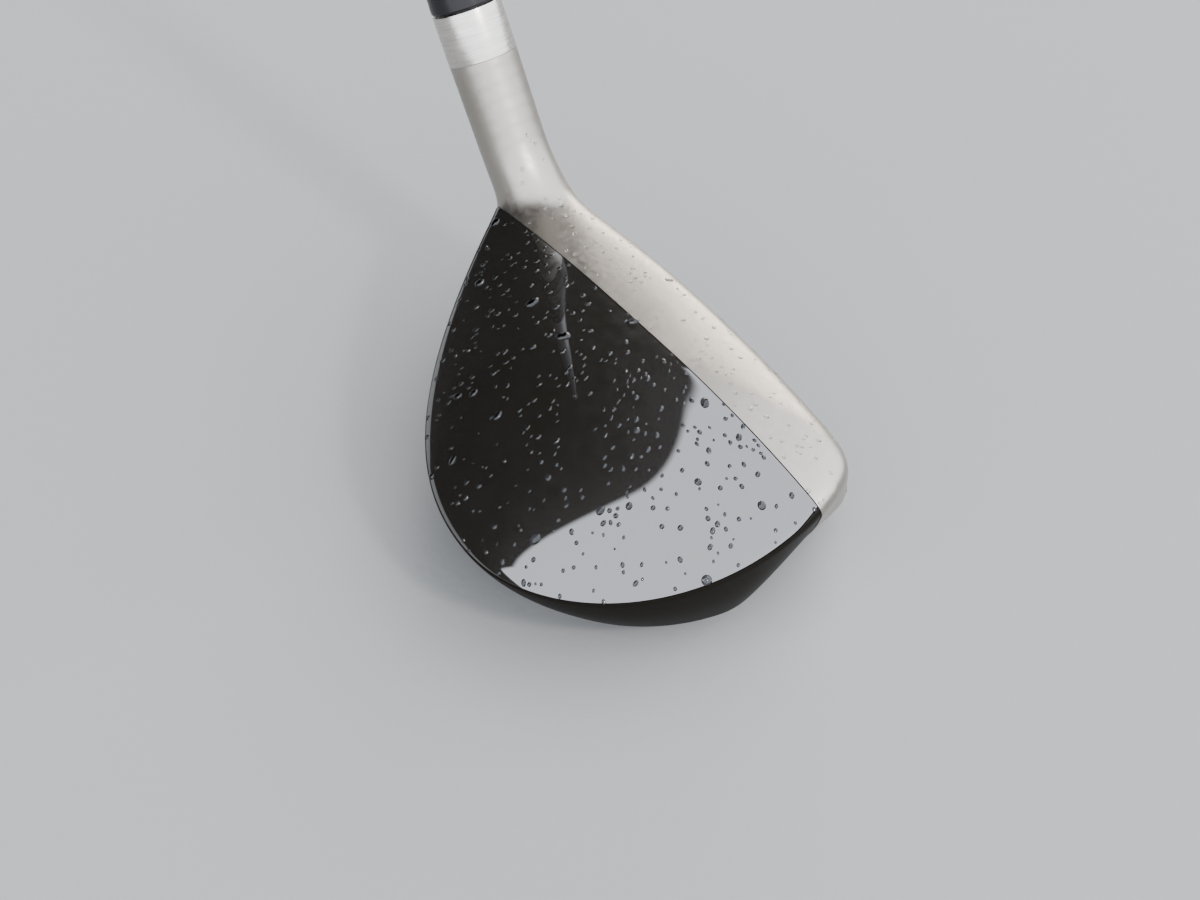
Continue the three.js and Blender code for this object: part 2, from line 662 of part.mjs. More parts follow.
function gripTape() {
  const low = gripMouth + TAPE_FROM_MOUTH;
  const high = shaftButt - TAPE_FROM_BUTT;
  return sleeve(low, high, tapeOuter(low), tapeOuter(high), tapeInner(low), tapeInner(high));
}

function grip() {
  const rolled = mouthRadius + MOUTH_ROLL_RISE;
  return turned([
    [gripInner(gripMouth), gripMouth],
    [rolled - MOUTH_ROLL / 2, gripMouth],
    [rolled, gripMouth + MOUTH_ROLL],
    [mouthRadius, gripMouth + 3 * MOUTH_ROLL],
    [lerp(mouthRadius, buttRadius, GRIP_WAIST_FULLNESS), gripMouth + GRIP_LENGTH * GRIP_WAIST],
    [buttRadius, shaftButt - BUTT_BEAD_LENGTH],
    [buttRadius + BUTT_BEAD_RISE, shaftButt],
    [gripInner(shaftButt), shaftButt],
  ]);
}

function gripCap() {
  const top = CLUB_LENGTH;
  const plug = BUTT_RADIUS - SHAFT_WALL - GAP;
  const plugLow = capLow - CAP_PLUG_LENGTH;
  const lip = buttRadius + CAP_LIP;
  return turned([
    [VENT_RADIUS, plugLow], [plug, plugLow], [plug, capLow], [buttRadius + CAP_LEDGE, capLow],
    [lip, capLow + CAP_ROUND], [lip, capLow + CAP_ROUND + CAP_LIP_LENGTH],
    [lip - CAP_ROUND, top - CAP_ROUND_TOP], [lip - CAP_FLAT_INSET, top], [VENT_RADIUS, top],
  ]);
}

// ---- Finishes -----------------------------------------------------------------------------

const FINISH = {
  blastedSteel: { color: 0xb9b1a6, roughness: 0.42, metalness: 1 },
  brushedSteel: { color: 0xd2cec4, roughness: 0.24, metalness: 1 },
  blackLacquer: { color: 0x12100e, roughness: 0.07, metalness: 0 },
  blackPlastic: { color: 0x17171a, roughness: 0.25, metalness: 0 },
  composite: { color: 0x1d1f23, roughness: 0.2, metalness: 0 },
  rubber: { color: 0x191a1b, roughness: 0.8, metalness: 0 },
  tape: { color: 0xc9b98f, roughness: 0.9, metalness: 0 },
  tungsten: { color: 0x77767a, roughness: 0.5, metalness: 1 },
  brass: { color: 0xb9975b, roughness: 0.35, metalness: 1 },
  hotMelt: { color: 0xd8c48a, roughness: 0.5, metalness: 0 },
  badge: { color: 0x3a4048, roughness: 0.4, metalness: 0.6 },
};

// ---- Assembly -----------------------------------------------------------------------------

function addPiece(parent, name, geometry, finish) {
  const mesh = new THREE.Mesh(geometry, new THREE.MeshStandardMaterial(finish));
  mesh.name = name;
  parent.add(mesh);
}

function buildHead() {
  const head = new THREE.Group();
  addPiece(head, "front_body", toGeometry(frontBody()), FINISH.blastedSteel);
  addPiece(head, "face_plate", toGeometry(facePlate()), FINISH.blastedSteel);
  addPiece(head, "crown_shell", toGeometry(crownShell()), FINISH.blackLacquer);
  addPiece(head, "rear_body", toGeometry(rearBody()), FINISH.blackLacquer);
  addPiece(head, "sole_badge", toGeometry(soleBadge()), FINISH.badge);
  addPiece(head, "weight_port", toGeometry(weightPort()), FINISH.brushedSteel);
  addPiece(head, "rear_ballast", toGeometry(rearBallast()), FINISH.tungsten);
  addPiece(head, "toe_ballast", toGeometry(toeBallast()), FINISH.tungsten);
  addPiece(head, "hot_melt_pad", toGeometry(hotMelt()), FINISH.hotMelt);
  return head;
}

function buildWeight() {
  const weight = new THREE.Group();
  portFrame.decompose(weight.position, weight.quaternion, weight.scale);
  addPiece(weight, "weight_screw", weightScrew(), FINISH.brushedSteel);
  addPiece(weight, "weight_washer", weightWasher(), FINISH.rubber);
  return weight;
}

function buildShaft() {
  const shaft = new THREE.Group();
  shaftFrame.decompose(shaft.position, shaft.quaternion, shaft.scale);
  addPiece(shaft, "hosel_stop", disc(boreRadius - GAP, stopLow, stopLow + STOP_LENGTH), FINISH.rubber);
  addPiece(shaft, "tip_weight", tipWeight(), FINISH.brass);
  addPiece(shaft, "hosel_collar", collar(), FINISH.brushedSteel);
  addPiece(shaft, "ferrule", ferrule(), FINISH.blackPlastic);
  addPiece(shaft, "shaft", shaftTube(), FINISH.composite);
  addPiece(shaft, "grip_tape", gripTape(), FINISH.tape);
  addPiece(shaft, "grip", grip(), FINISH.rubber);
  addPiece(shaft, "grip_cap", gripCap(), FINISH.rubber);
  return shaft;
}

const club = new THREE.Group();
club.add(buildHead(), buildWeight(), buildShaft());

export default club;
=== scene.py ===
"""Looks of a hybrid golf club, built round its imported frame.

Everything is in metres: +X to the toe, +Y to the target, +Z up, origin on the flat of the sole.
"""

import json
import logging
import math
import random
from dataclasses import dataclass, field
from enum import Enum

import bmesh
import bpy
from bmesh.types import BMesh
from mathutils import Matrix, Vector
from mathutils.bvhtree import BVHTree


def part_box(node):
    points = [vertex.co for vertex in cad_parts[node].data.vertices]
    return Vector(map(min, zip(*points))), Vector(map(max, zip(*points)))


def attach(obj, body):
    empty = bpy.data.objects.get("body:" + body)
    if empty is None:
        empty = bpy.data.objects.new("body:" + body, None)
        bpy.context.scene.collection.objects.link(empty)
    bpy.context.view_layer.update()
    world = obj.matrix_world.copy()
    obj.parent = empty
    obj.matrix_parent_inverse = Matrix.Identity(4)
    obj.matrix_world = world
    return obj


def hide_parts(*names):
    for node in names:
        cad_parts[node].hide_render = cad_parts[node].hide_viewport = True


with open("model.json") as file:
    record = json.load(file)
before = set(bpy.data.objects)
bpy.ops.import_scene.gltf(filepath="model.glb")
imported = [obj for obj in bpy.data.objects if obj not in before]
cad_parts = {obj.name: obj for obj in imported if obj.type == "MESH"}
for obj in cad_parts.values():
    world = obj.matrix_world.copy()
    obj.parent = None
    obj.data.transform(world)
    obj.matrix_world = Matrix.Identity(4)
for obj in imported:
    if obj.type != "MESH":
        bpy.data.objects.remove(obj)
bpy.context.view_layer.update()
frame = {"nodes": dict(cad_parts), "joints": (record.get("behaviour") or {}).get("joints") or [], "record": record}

log = logging.getLogger("club")

Colour = tuple[float, float, float]
Profile = list[tuple[float, float]]


class Body(Enum):
    """Rigid bodies of the frame that pieces ride on."""

    CLUB = "club"
    WASHER = "washer"
    SCREW = "screw"


# ---- Frame ---------------------------------------------------------------------------------


def joint_named(name: str) -> dict:
    """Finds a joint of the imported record.

    Args:
        name: The joint's name.

    Returns:
        The joint's entry in the record.
    """
    return next(joint for joint in frame["joints"] if joint["name"] == name)


def shaft_matrix() -> Matrix:
    """Works out the frame of the shaft from the grip's mount.

    Returns:
        A matrix whose local +Z runs up the shaft from where its axis meets the ground,
        and whose local +X leans to the toe.
    """
    mounts = {mount["name"]: mount for mount in frame["record"]["mounts"]}
    hold = mounts["grip_hold"]
    up = Vector(hold["axis"]).normalized()
    place = Vector(hold["pos_m"])
    ground = place - up * (place.z / up.z)
    across = Vector((0.0, 1.0, 0.0))
    toward_toe = across.cross(up)
    return Matrix.Translation(ground) @ Matrix((toward_toe, across, up)).transposed().to_4x4()


def port_matrix() -> Matrix:
    """Works out the frame of the weight port from its joint.

    Returns:
        A matrix whose local +Z runs out of the sole along the screw.
    """
    joint = joint_named("weight_turn")
    out = Vector(joint["axis"]).normalized()
    return Matrix.Translation(joint["pos_m"]) @ out.to_track_quat("Z", "Y").to_matrix().to_4x4()


def along_shaft(node: str) -> tuple[float, float]:
    """Measures a round node along the shaft.

    Args:
        node: Name of a CAD node on the shaft's axis.

    Returns:
        Its lowest and highest distance along the axis.
    """
    inverse = shaft_matrix().inverted()
    heights = [(inverse @ vertex.co).z for vertex in frame["nodes"][node].data.vertices]
    return min(heights), max(heights)


def radius_on(node: str, matrix: Matrix) -> float:
    """Measures the largest radius of a round node about an axis.

    Args:
        node: Name of a CAD node on that axis.
        matrix: The axis's frame, with the axis along its local +Z.

    Returns:
        The radius.
    """
    inverse = matrix.inverted()
    return max((inverse @ vertex.co).xy.length for vertex in frame["nodes"][node].data.vertices)


# ---- Mesh tools ----------------------------------------------------------------------------


def smoothstep(low: float, high: float, value: float) -> float:
    """Eases from 0 at low to 1 at high.

    Args:
        low: Value where the step starts.
        high: Value where it ends.
        value: Value to place on it.

    Returns:
        A share from 0 to 1.
    """
    share = min(max((value - low) / (high - low), 0.0), 1.0)
    return share * share * (3.0 - 2.0 * share)


def mix(low: float, high: float, share: float) -> float:
    """Returns the value that lies a share of the way from low to high."""
    return low + (high - low) * share


def mesh_from(mesh_builder: BMesh, name: str) -> bpy.types.Mesh:
    """Turns a bmesh into a mesh and frees it.

    Args:
        mesh_builder: The bmesh, which can't be used afterwards.
        name: Name of the new mesh.

    Returns:
        The mesh.
    """
    mesh = bpy.data.meshes.new(name)
    mesh_builder.to_mesh(mesh)
    mesh_builder.free()
    return mesh


def reshaped(mesh: bpy.types.Mesh, kind: str, **settings: object) -> BMesh:
    """Applies one modifier to a mesh.

    Args:
        mesh: The mesh, which is used up.
        kind: The modifier's type, such as REMESH or BOOLEAN.
        **settings: Values for the modifier.

    Returns:
        A bmesh of the result.
    """
    holder = bpy.data.objects.new("holder", mesh)
    bpy.context.scene.collection.objects.link(holder)
    modifier = holder.modifiers.new("shape", kind)
    for key, value in settings.items():
        setattr(modifier, key, value)
    graph = bpy.context.evaluated_depsgraph_get()
    result = bmesh.new()
    result.from_object(holder, graph)
    bpy.data.objects.remove(holder)
    bpy.data.meshes.remove(mesh)
    return result


def combined(blank: BMesh, tool: BMesh, operation: str) -> BMesh:
    """Cuts or keeps a blank by a tool.

    Args:
        blank: The solid to shape, which is used up.
        tool: The cutting solid, which is used up.
        operation: DIFFERENCE, INTERSECT or UNION.

    Returns:
        The shaped solid.
    """
    cutter = bpy.data.objects.new("cutter", mesh_from(tool, "cutter"))
    bpy.context.scene.collection.objects.link(cutter)
    cutter_mesh = cutter.data
    result = reshaped(
        mesh_from(blank, "blank"), "BOOLEAN",
        object=cutter, operation=operation, solver="MANIFOLD",
    )
    bpy.data.objects.remove(cutter)
    bpy.data.meshes.remove(cutter_mesh)
    return result


def trim(solid: BMesh, place: Vector, outward: Vector, cap: bool) -> None:
    """Cuts away what lies beyond a plane.

    Args:
        solid: The bmesh to cut.
        place: A point on the plane.
        outward: The plane's normal, pointing to the side that is removed.
        cap: Whether the cut is closed with a face.
    """
    geometry = solid.verts[:] + solid.edges[:] + solid.faces[:]
    cut = bmesh.ops.bisect_plane(
        solid, geom=geometry, dist=1e-7, plane_co=place, plane_no=outward,
        clear_outer=True, clear_inner=False,
    )
    if cap:
        edges = [item for item in cut["geom_cut"] if isinstance(item, bmesh.types.BMEdge)]
        bmesh.ops.triangle_fill(solid, use_beauty=True, edges=edges, normal=outward)
        bmesh.ops.recalc_face_normals(solid, faces=solid.faces[:])


def turned(profile: Profile, matrix: Matrix, steps: int = 96) -> BMesh:
    """Spins a profile about the local Z axis of a frame.

    Args:
        profile: Radius and height pairs. It closes on itself, or starts and ends on the axis.
        matrix: The frame to put the turned solid in.
        steps: Number of steps round.

    Returns:
        The turned solid, with its normals outwards.
    """
    solid = bmesh.new()
    points = [solid.verts.new((radius, 0.0, height)) for radius, height in profile]
    edges = [solid.edges.new(pair) for pair in zip(points, points[1:])]
    if profile[0][0] > 0.0:
        edges.append(solid.edges.new((points[-1], points[0])))
    bmesh.ops.spin(
        solid, geom=points + edges, axis=(0, 0, 1), cent=(0, 0, 0),
        angle=math.tau, steps=steps, use_merge=True,
    )
    bmesh.ops.remove_doubles(solid, verts=solid.verts[:], dist=1e-7)
    bmesh.ops.recalc_face_normals(solid, faces=solid.faces[:])
    solid.transform(matrix)
    return solid


def rounded(profile: Profile, radius: float, steps: int = 4) -> Profile:
    """Rounds every corner of a closed profile.

    Args:
        profile: Corner points of the profile.
        radius: How far the rounding runs along each side of a corner.
        steps: Number of steps in each rounding.

    Returns:
        The profile with its corners rounded.
    """
    points = []
    count = len(profile)
    for index, corner in enumerate(profile):
        here = Vector(corner)
        before = Vector(profile[index - 1]) - here
        after = Vector(profile[(index + 1) % count]) - here
        reach = min(radius, before.length / 2.1, after.length / 2.1)
        start = here + before.normalized() * reach
        end = here + after.normalized() * reach
        for step in range(steps + 1):
            share = step / steps
            point = start.lerp(here, share).lerp(here.lerp(end, share), share)
            points.append((point.x, point.y))
    return points


def add_piece(
    name: str, solid: BMesh, material: bpy.types.Material,
    body: Body, replaces: tuple[str, ...] = (), sharp_deg: float = 32.0,
) -> bpy.types.Object:
    """Makes a finished piece and hangs it on the frame.

    Args:
        name: Name of the piece.
        solid: Its shape, which is used up.
        material: Its material.
        body: The body that it rides on.
        replaces: CAD nodes that it stands for.
        sharp_deg: Angle from which its edges are shaded sharp.

    Returns:
        The new object.
    """
    mesh = mesh_from(solid, name)
    mesh.shade_smooth()
    mesh.set_sharp_from_angle(angle=math.radians(sharp_deg))
    mesh.materials.append(material)
    piece = bpy.data.objects.new(name, mesh)
    bpy.context.scene.collection.objects.link(piece)
    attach(piece, body.value)
    if replaces:
        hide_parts(*replaces)
    log.info("%s: %d faces on %s", name, len(mesh.polygons), body.value)
    return piece


# ---- Finishes ------------------------------------------------------------------------------


class Shader:
    """One material while its nodes are being wired."""

    def __init__(self, name: str, colour: Colour, roughness: float, metallic: float = 0.0) -> None:
        """Starts a material with one shader.

        Args:
            name: Name of the material.
            colour: Base colour, linear.
            roughness: Base roughness.
            metallic: 1 for bare metal.
        """
        self.material = bpy.data.materials.new(name)
        self.material.use_nodes = True
        self.material.diffuse_color = (*colour, 1.0)
        self.tree = self.material.node_tree
        self.surface = self.tree.nodes["Principled BSDF"]
        self.set("Base Color", (*colour, 1.0))
        self.set("Roughness", roughness)
        self.set("Metallic", metallic)

    def set(self, socket: str, value: object) -> None:
        """Sets a value on the shader's own socket."""
        self.surface.inputs[socket].default_value = value

    def drive(self, socket: str, source: bpy.types.NodeSocket) -> None:
        """Links a pattern to one of the shader's sockets."""
        self.tree.links.new(source, self.surface.inputs[socket])

    def node(self, kind: str, **values: object) -> bpy.types.Node:
        """Adds a node.

        Args:
            kind: Node type without its ShaderNode prefix.
            **values: Properties of the node.

        Returns:
            The node.
        """
        made = self.tree.nodes.new("ShaderNode" + kind)
        for key, value in values.items():
            setattr(made, key, value)
        return made

    def coordinates(
        self, turn: Matrix | None = None, stretch: tuple[float, float, float] = (1.0, 1.0, 1.0),
    ) -> bpy.types.NodeSocket:
        """Gives object coordinates, turned into a part's own frame and stretched.

        Args:
            turn: Frame of the part, or None for the club's own.
            stretch: Factors on the turned coordinates.

        Returns:
            The vector socket.
        """
        place = self.node("TexCoord").outputs["Object"]
        if turn is not None:
            shift = self.node("Mapping", vector_type="POINT")
            inverse = turn.inverted()
            shift.inputs["Rotation"].default_value = inverse.to_euler()
            shift.inputs["Location"].default_value = inverse.to_translation()
            self.tree.links.new(place, shift.inputs["Vector"])
            place = shift.outputs["Vector"]
        scale = self.node("Mapping", vector_type="POINT")
        scale.inputs["Scale"].default_value = stretch
        self.tree.links.new(place, scale.inputs["Vector"])
        return scale.outputs["Vector"]

    def noise(
        self, place: bpy.types.NodeSocket, scale: float, detail: float = 2.0,
    ) -> bpy.types.NodeSocket:
        """Adds a noise pattern.

        Args:
            place: Coordinates to read.
            scale: Repeats in a metre.
            detail: Number of finer layers.

        Returns:
            Its value socket, from about 0 to 1.
        """
        made = self.node("TexNoise")
        made.inputs["Scale"].default_value = scale
        made.inputs["Detail"].default_value = detail
        self.tree.links.new(place, made.inputs["Vector"])
        return made.outputs["Fac"]

    def between(
        self, value: bpy.types.NodeSocket, low: float, high: float,
        start: float = 0.3, end: float = 0.7,
    ) -> bpy.types.NodeSocket:
        """Maps a pattern to a range.

        Args:
            value: Pattern socket.
            low: Result where the pattern is at start.
            high: Result where it is at end.
            start: Pattern value that gives low.
            end: Pattern value that gives high.

        Returns:
            The result socket.
        """
        made = self.node("MapRange")
        for socket, number in zip(made.inputs[1:5], (start, end, low, high)):
            socket.default_value = number
        self.tree.links.new(value, made.inputs["Value"])
        return made.outputs["Result"]

    def maths(self, operation: str, *values: object) -> bpy.types.NodeSocket:
        """Adds a sum over sockets or plain numbers.

        Args:
            operation: The node's operation.
            *values: Sockets or numbers that it works on.

        Returns:
            The result socket.
        """
        made = self.node("Math", operation=operation)
        for socket, value in zip(made.inputs, values):
            if isinstance(value, bpy.types.NodeSocket):
                self.tree.links.new(value, socket)
            else:
                socket.default_value = value
        return made.outputs["Value"]

    def blend(
        self, value: bpy.types.NodeSocket, first: Colour, second: Colour,
    ) -> bpy.types.NodeSocket:
        """Blends two colours by a pattern.

        Args:
            value: Pattern from 0 to 1.
            first: Colour at 0.
            second: Colour at 1.

        Returns:
            The colour socket.
        """
        made = self.node("MixRGB")
        made.inputs["Color1"].default_value = (*first, 1.0)
        made.inputs["Color2"].default_value = (*second, 1.0)
        self.tree.links.new(value, made.inputs["Fac"])
        return made.outputs["Color"]

    def bump(self, height: bpy.types.NodeSocket, depth: float, strength: float = 1.0) -> None:
        """Raises the surface by a pattern, on top of any earlier bump.

        Args:
            height: Pattern from 0 to 1.
            depth: Height of the relief, in metres.
            strength: Share of it that shows.
        """
        made = self.node("Bump")
        made.inputs["Strength"].default_value = strength
        made.inputs["Distance"].default_value = depth
        normal = self.surface.inputs["Normal"]
        if normal.links:
            self.tree.links.new(normal.links[0].from_socket, made.inputs["Normal"])
        self.tree.links.new(height, made.inputs["Height"])
        self.drive("Normal", made.outputs["Normal"])


@dataclass(frozen=True)
class BlastedSteel:
    """Bead-blasted cast steel with a soft warm sheen."""

    colour: Colour = (0.32, 0.296, 0.262)
    shade: Colour = (0.27, 0.247, 0.216)
    clouds: float = 55.0
    patches: float = 900.0
    roughness: tuple[float, float] = (0.34, 0.44)
    grains: float = 5200.0
    relief: float = 0.000016

    def make(self) -> bpy.types.Material:
        """Builds the material."""
        shader = Shader("blasted_steel", self.colour, self.roughness[1], 1.0)
        place = shader.coordinates()
        cloud = shader.between(shader.noise(place, self.clouds, 3.0), 0.0, 1.0)
        shader.drive("Base Color", shader.blend(cloud, self.colour, self.shade))
        grain = shader.noise(place, self.grains, 2.0)
        patch = shader.noise(place, self.patches, 3.0)
        shader.drive("Roughness", shader.between(patch, *self.roughness))
        shader.bump(grain, self.relief)
        return shader.material


@dataclass(frozen=True)
class TurnedSteel:
    """Bright steel with the fine rings that a lathe leaves about an axis."""

    name: str = "turned_steel"
    colour: Colour = (0.56, 0.53, 0.49)
    shade: Colour = (0.42, 0.395, 0.36)
    rings: float = 5200.0
    patches: float = 160.0
    roughness: tuple[float, float] = (0.2, 0.34)
    relief: float = 0.000012

    def make(self, axis: Matrix) -> bpy.types.Material:
        """Builds the material.

        Args:
            axis: Frame whose local Z is the lathe's axis.

        Returns:
            The material.
        """
        shader = Shader(self.name, self.colour, self.roughness[0], 1.0)
        rings = shader.noise(shader.coordinates(axis, (0.02, 0.02, 1.0)), self.rings, 3.0)
        patch = shader.noise(shader.coordinates(axis, (1.0, 1.0, 4.0)), self.patches, 3.0)
        worn = shader.between(rings, 0.0, 1.0)
        shader.drive("Base Color", shader.blend(worn, self.colour, self.shade))
        shader.drive("Roughness", shader.between(patch, *self.roughness))
        shader.bump(rings, self.relief)
        return shader.material


@dataclass(frozen=True)
class BlackLacquer:
    """Deep gloss black under clear lacquer, with the faintest haze."""

    name: str = "black_lacquer"
    coat_ior: float = 2.05
    coat: float = 1.0
    under_gloss: float = 0.12
    colour: Colour = (0.0055, 0.0048, 0.0037)
    haze: Colour = (0.0068, 0.0062, 0.0052)
    clouds: float = 70.0
    patches: float = 400.0
    roughness: tuple[float, float] = (0.26, 0.4)
    coat_roughness: float = 0.025
    ripples: float = 300.0
    relief: float = 0.0000012

    def make(self) -> bpy.types.Material:
        """Builds the material."""
        shader = Shader(self.name, self.colour, self.roughness[0])
        place = shader.coordinates()
        cloud = shader.between(shader.noise(place, self.clouds, 5.0), 0.0, 1.0, 0.5, 0.8)
        shader.drive("Base Color", shader.blend(cloud, self.colour, self.haze))
        patch = shader.noise(place, self.patches, 3.0)
        shader.drive("Roughness", shader.between(patch, *self.roughness))
        shader.set("Specular IOR Level", self.under_gloss)
        shader.set("Coat Weight", self.coat)
        shader.set("Coat Roughness", self.coat_roughness)
        shader.set("Coat IOR", self.coat_ior)
        shader.bump(shader.noise(place, self.ripples, 1.0), self.relief)
        return shader.material


@dataclass(frozen=True)
class MilledFace:
    """Steel face with a fine upright milling pattern."""

    colour: Colour = (0.27, 0.255, 0.235)
    shade: Colour = (0.2, 0.19, 0.175)
    lines: float = 4200.0
    clouds: float = 60.0
    roughness: tuple[float, float] = (0.3, 0.46)
    relief: float = 0.00001

    def make(self) -> bpy.types.Material:
        """Builds the material."""
        shader = Shader("face_steel", self.colour, self.roughness[0], 1.0)
        upright = shader.coordinates(None, (1.0, 0.02, 0.02))
        lines = shader.noise(upright, self.lines, 2.0)
        cloud = shader.between(shader.noise(shader.coordinates(), self.clouds, 3.0), 0.0, 1.0)
        shader.drive("Base Color", shader.blend(cloud, self.colour, self.shade))
        shader.drive("Roughness", shader.between(lines, *self.roughness))
        shader.bump(lines, self.relief)
        return shader.material


@dataclass(frozen=True)
class GlossPlastic:
    """Moulded or polished black plastic."""

    name: str = "ferrule_plastic"
    colour: Colour = (0.009, 0.009, 0.0095)
    gloss: float = 0.16
    patches: float = 500.0
    roughness: tuple[float, float] = (0.2, 0.32)
    ripples: float = 700.0
    relief: float = 0.000003

    def make(self) -> bpy.types.Material:
        """Builds the material."""
        shader = Shader(self.name, self.colour, self.roughness[0])
        place = shader.coordinates()
        shader.set("Specular IOR Level", self.gloss)
        patch = shader.noise(place, self.patches, 3.0)
        shader.drive("Roughness", shader.between(patch, *self.roughness))
        shader.bump(shader.noise(place, self.ripples, 2.0), self.relief)
        return shader.material


@dataclass(frozen=True)
class Composite:
    """Wound carbon under clear coat, charcoal with a faint spiral."""

    colour: Colour = (0.014, 0.0145, 0.017)
    fibre: Colour = (0.03, 0.031, 0.035)
    fibres: float = 2200.0
    roughness: tuple[float, float] = (0.3, 0.42)
    coat: float = 0.4
    coat_roughness: float = 0.06
    relief: float = 0.000004

    def make(self, axis: Matrix) -> bpy.types.Material:
        """Builds the material.

        Args:
            axis: Frame whose local Z is the shaft's axis.

        Returns:
            The material.
        """
        shader = Shader("composite", self.colour, self.roughness[0])
        fibres = shader.noise(shader.coordinates(axis, (1.0, 1.0, 0.12)), self.fibres, 3.0)
        lit = shader.between(fibres, 0.0, 1.0)
        shader.drive("Base Color", shader.blend(lit, self.colour, self.fibre))
        shader.drive("Roughness", shader.between(fibres, *self.roughness))
        shader.set("Coat Weight", self.coat)
        shader.set("Coat Roughness", self.coat_roughness)
        shader.bump(fibres, self.relief)
        return shader.material


@dataclass(frozen=True)
class MouldedRubber:
    """Matt black rubber with a fine pebbled skin and chalky wear."""

    name: str = "grip_rubber"
    colour: Colour = (0.018, 0.018, 0.019)
    worn: Colour = (0.034, 0.034, 0.035)
    turns: float = 9.0
    pitch: float = 700.0
    relief: float = 0.00022
    wear: float = 40.0
    patches: float = 800.0
    roughness: tuple[float, float] = (0.62, 0.85)
    pebbles: float = 1500.0
    pebble_relief: float = 0.00006

    def lattice(self, shader: "Shader", axis: Matrix) -> bpy.types.NodeSocket:
        """Crosses two sets of spiral grooves into a lattice of lozenges.

        Args:
            shader: The material's nodes.
            axis: Frame whose local Z is the grip's axis.

        Returns:
            The height of the lattice, from 0 to 1.
        """
        split = shader.node("SeparateXYZ")
        shader.tree.links.new(shader.coordinates(axis), split.inputs["Vector"])
        x, y, z = split.outputs
        angle = shader.maths("MULTIPLY", shader.maths("ARCTAN2", y, x), self.turns)
        along = shader.maths("MULTIPLY", z, self.pitch)
        left, right = (
            shader.maths("ABSOLUTE", shader.maths("SINE", shader.maths(turn, angle, along)))
            for turn in ("ADD", "SUBTRACT")
        )
        return shader.between(shader.maths("MINIMUM", left, right), 0.0, 1.0, 0.05, 0.4)

    def make(self, axis: Matrix) -> bpy.types.Material:
        """Builds the material.

        Args:
            axis: Frame whose local Z is the grip's axis.

        Returns:
            The material.
        """
        shader = Shader(self.name, self.colour, self.roughness[1])
        place = shader.coordinates()
        shader.bump(self.lattice(shader, axis), self.relief)
        wear = shader.between(shader.noise(place, self.wear, 4.0), 0.0, 1.0, 0.45, 0.75)
        shader.drive("Base Color", shader.blend(wear, self.colour, self.worn))
        patch = shader.noise(place, self.patches, 2.0)
        shader.drive("Roughness", shader.between(patch, *self.roughness))
        shader.bump(shader.noise(place, self.pebbles, 2.0), self.pebble_relief)
        return shader.material


@dataclass(frozen=True)
class PlainGrain:
    """A finish of two close shades with its own grain, for the small and inner pieces."""

    name: str
    colour: Colour
    shade: Colour
    roughness: float
    metallic: float
    grain: float
    relief: float
    spread: float = 0.12
    patches: float = 300.0

    def make(self) -> bpy.types.Material:
        """Builds the material."""
        shader = Shader(self.name, self.colour, self.roughness, self.metallic)
        place = shader.coordinates()
        grain = shader.noise(place, self.grain, 3.0)
        tone = shader.between(grain, 0.0, 1.0)
        shader.drive("Base Color", shader.blend(tone, self.colour, self.shade))
        spread = self.spread * self.roughness
        patch = shader.between(
            shader.noise(place, self.patches, 2.0), self.roughness - spread,
            self.roughness + spread,
        )
        shader.drive("Roughness", patch)
        shader.bump(grain, self.relief)
        return shader.material


BRASS = PlainGrain("brass", (0.6, 0.42, 0.17), (0.5, 0.34, 0.13), 0.3, 1.0, 2500.0, 0.00001)
BALLAST = PlainGrain("ballast", (0.19, 0.19, 0.2), (0.13, 0.13, 0.14), 0.6, 0.8, 1200.0, 0.00005)
HOT_MELT = PlainGrain("hot_melt", (0.68, 0.52, 0.24), (0.58, 0.43, 0.18), 0.45, 0.0, 200.0, 0.00008)
TAPE = PlainGrain("tape", (0.56, 0.46, 0.3), (0.46, 0.37, 0.23), 0.9, 0.0, 1800.0, 0.00006)
SEAL = PlainGrain("seal_rubber", (0.02, 0.02, 0.021), (0.03, 0.03, 0.03), 0.7, 0.0, 1500.0, 0.00003)
BADGE = PlainGrain("badge", (0.1, 0.11, 0.13), (0.07, 0.075, 0.09), 0.35, 0.9, 3000.0, 0.00001)


@dataclass(frozen=True)
class RainWater:
    """Water, clear, or tinted dark: the dark tint is painted shade, which makes drops look dark over bright
    reflections.
    """

    name: str = "rain_water"
    colour: Colour = (0.96, 0.98, 1.0)
    ior: float = 1.4
    ripples: float = 900.0
    relief: float = 0.00001

    def make(self) -> bpy.types.Material:
        """Builds the material."""
        shader = Shader(self.name, self.colour, 0.0)
        shader.set("Transmission Weight", 1.0)
        shader.set("IOR", self.ior)
        shader.bump(shader.noise(shader.coordinates(), self.ripples, 1.0), self.relief)
        return shader.material


@dataclass(frozen=True)
class StudioPaper:
    """Pale matt paper of the studio floor."""

    colour: Colour = (0.21, 0.213, 0.21)
    roughness: float = 0.9
    tooth: float = 400.0
    relief: float = 0.00008

    def make(self) -> bpy.types.Material:
        """Builds the material."""
        shader = Shader("studio_paper", self.colour, self.roughness)
        shader.bump(shader.noise(shader.coordinates(), self.tooth, 3.0), self.relief)
        return shader.material


# ---- Head ----------------------------------------------------------------------------------


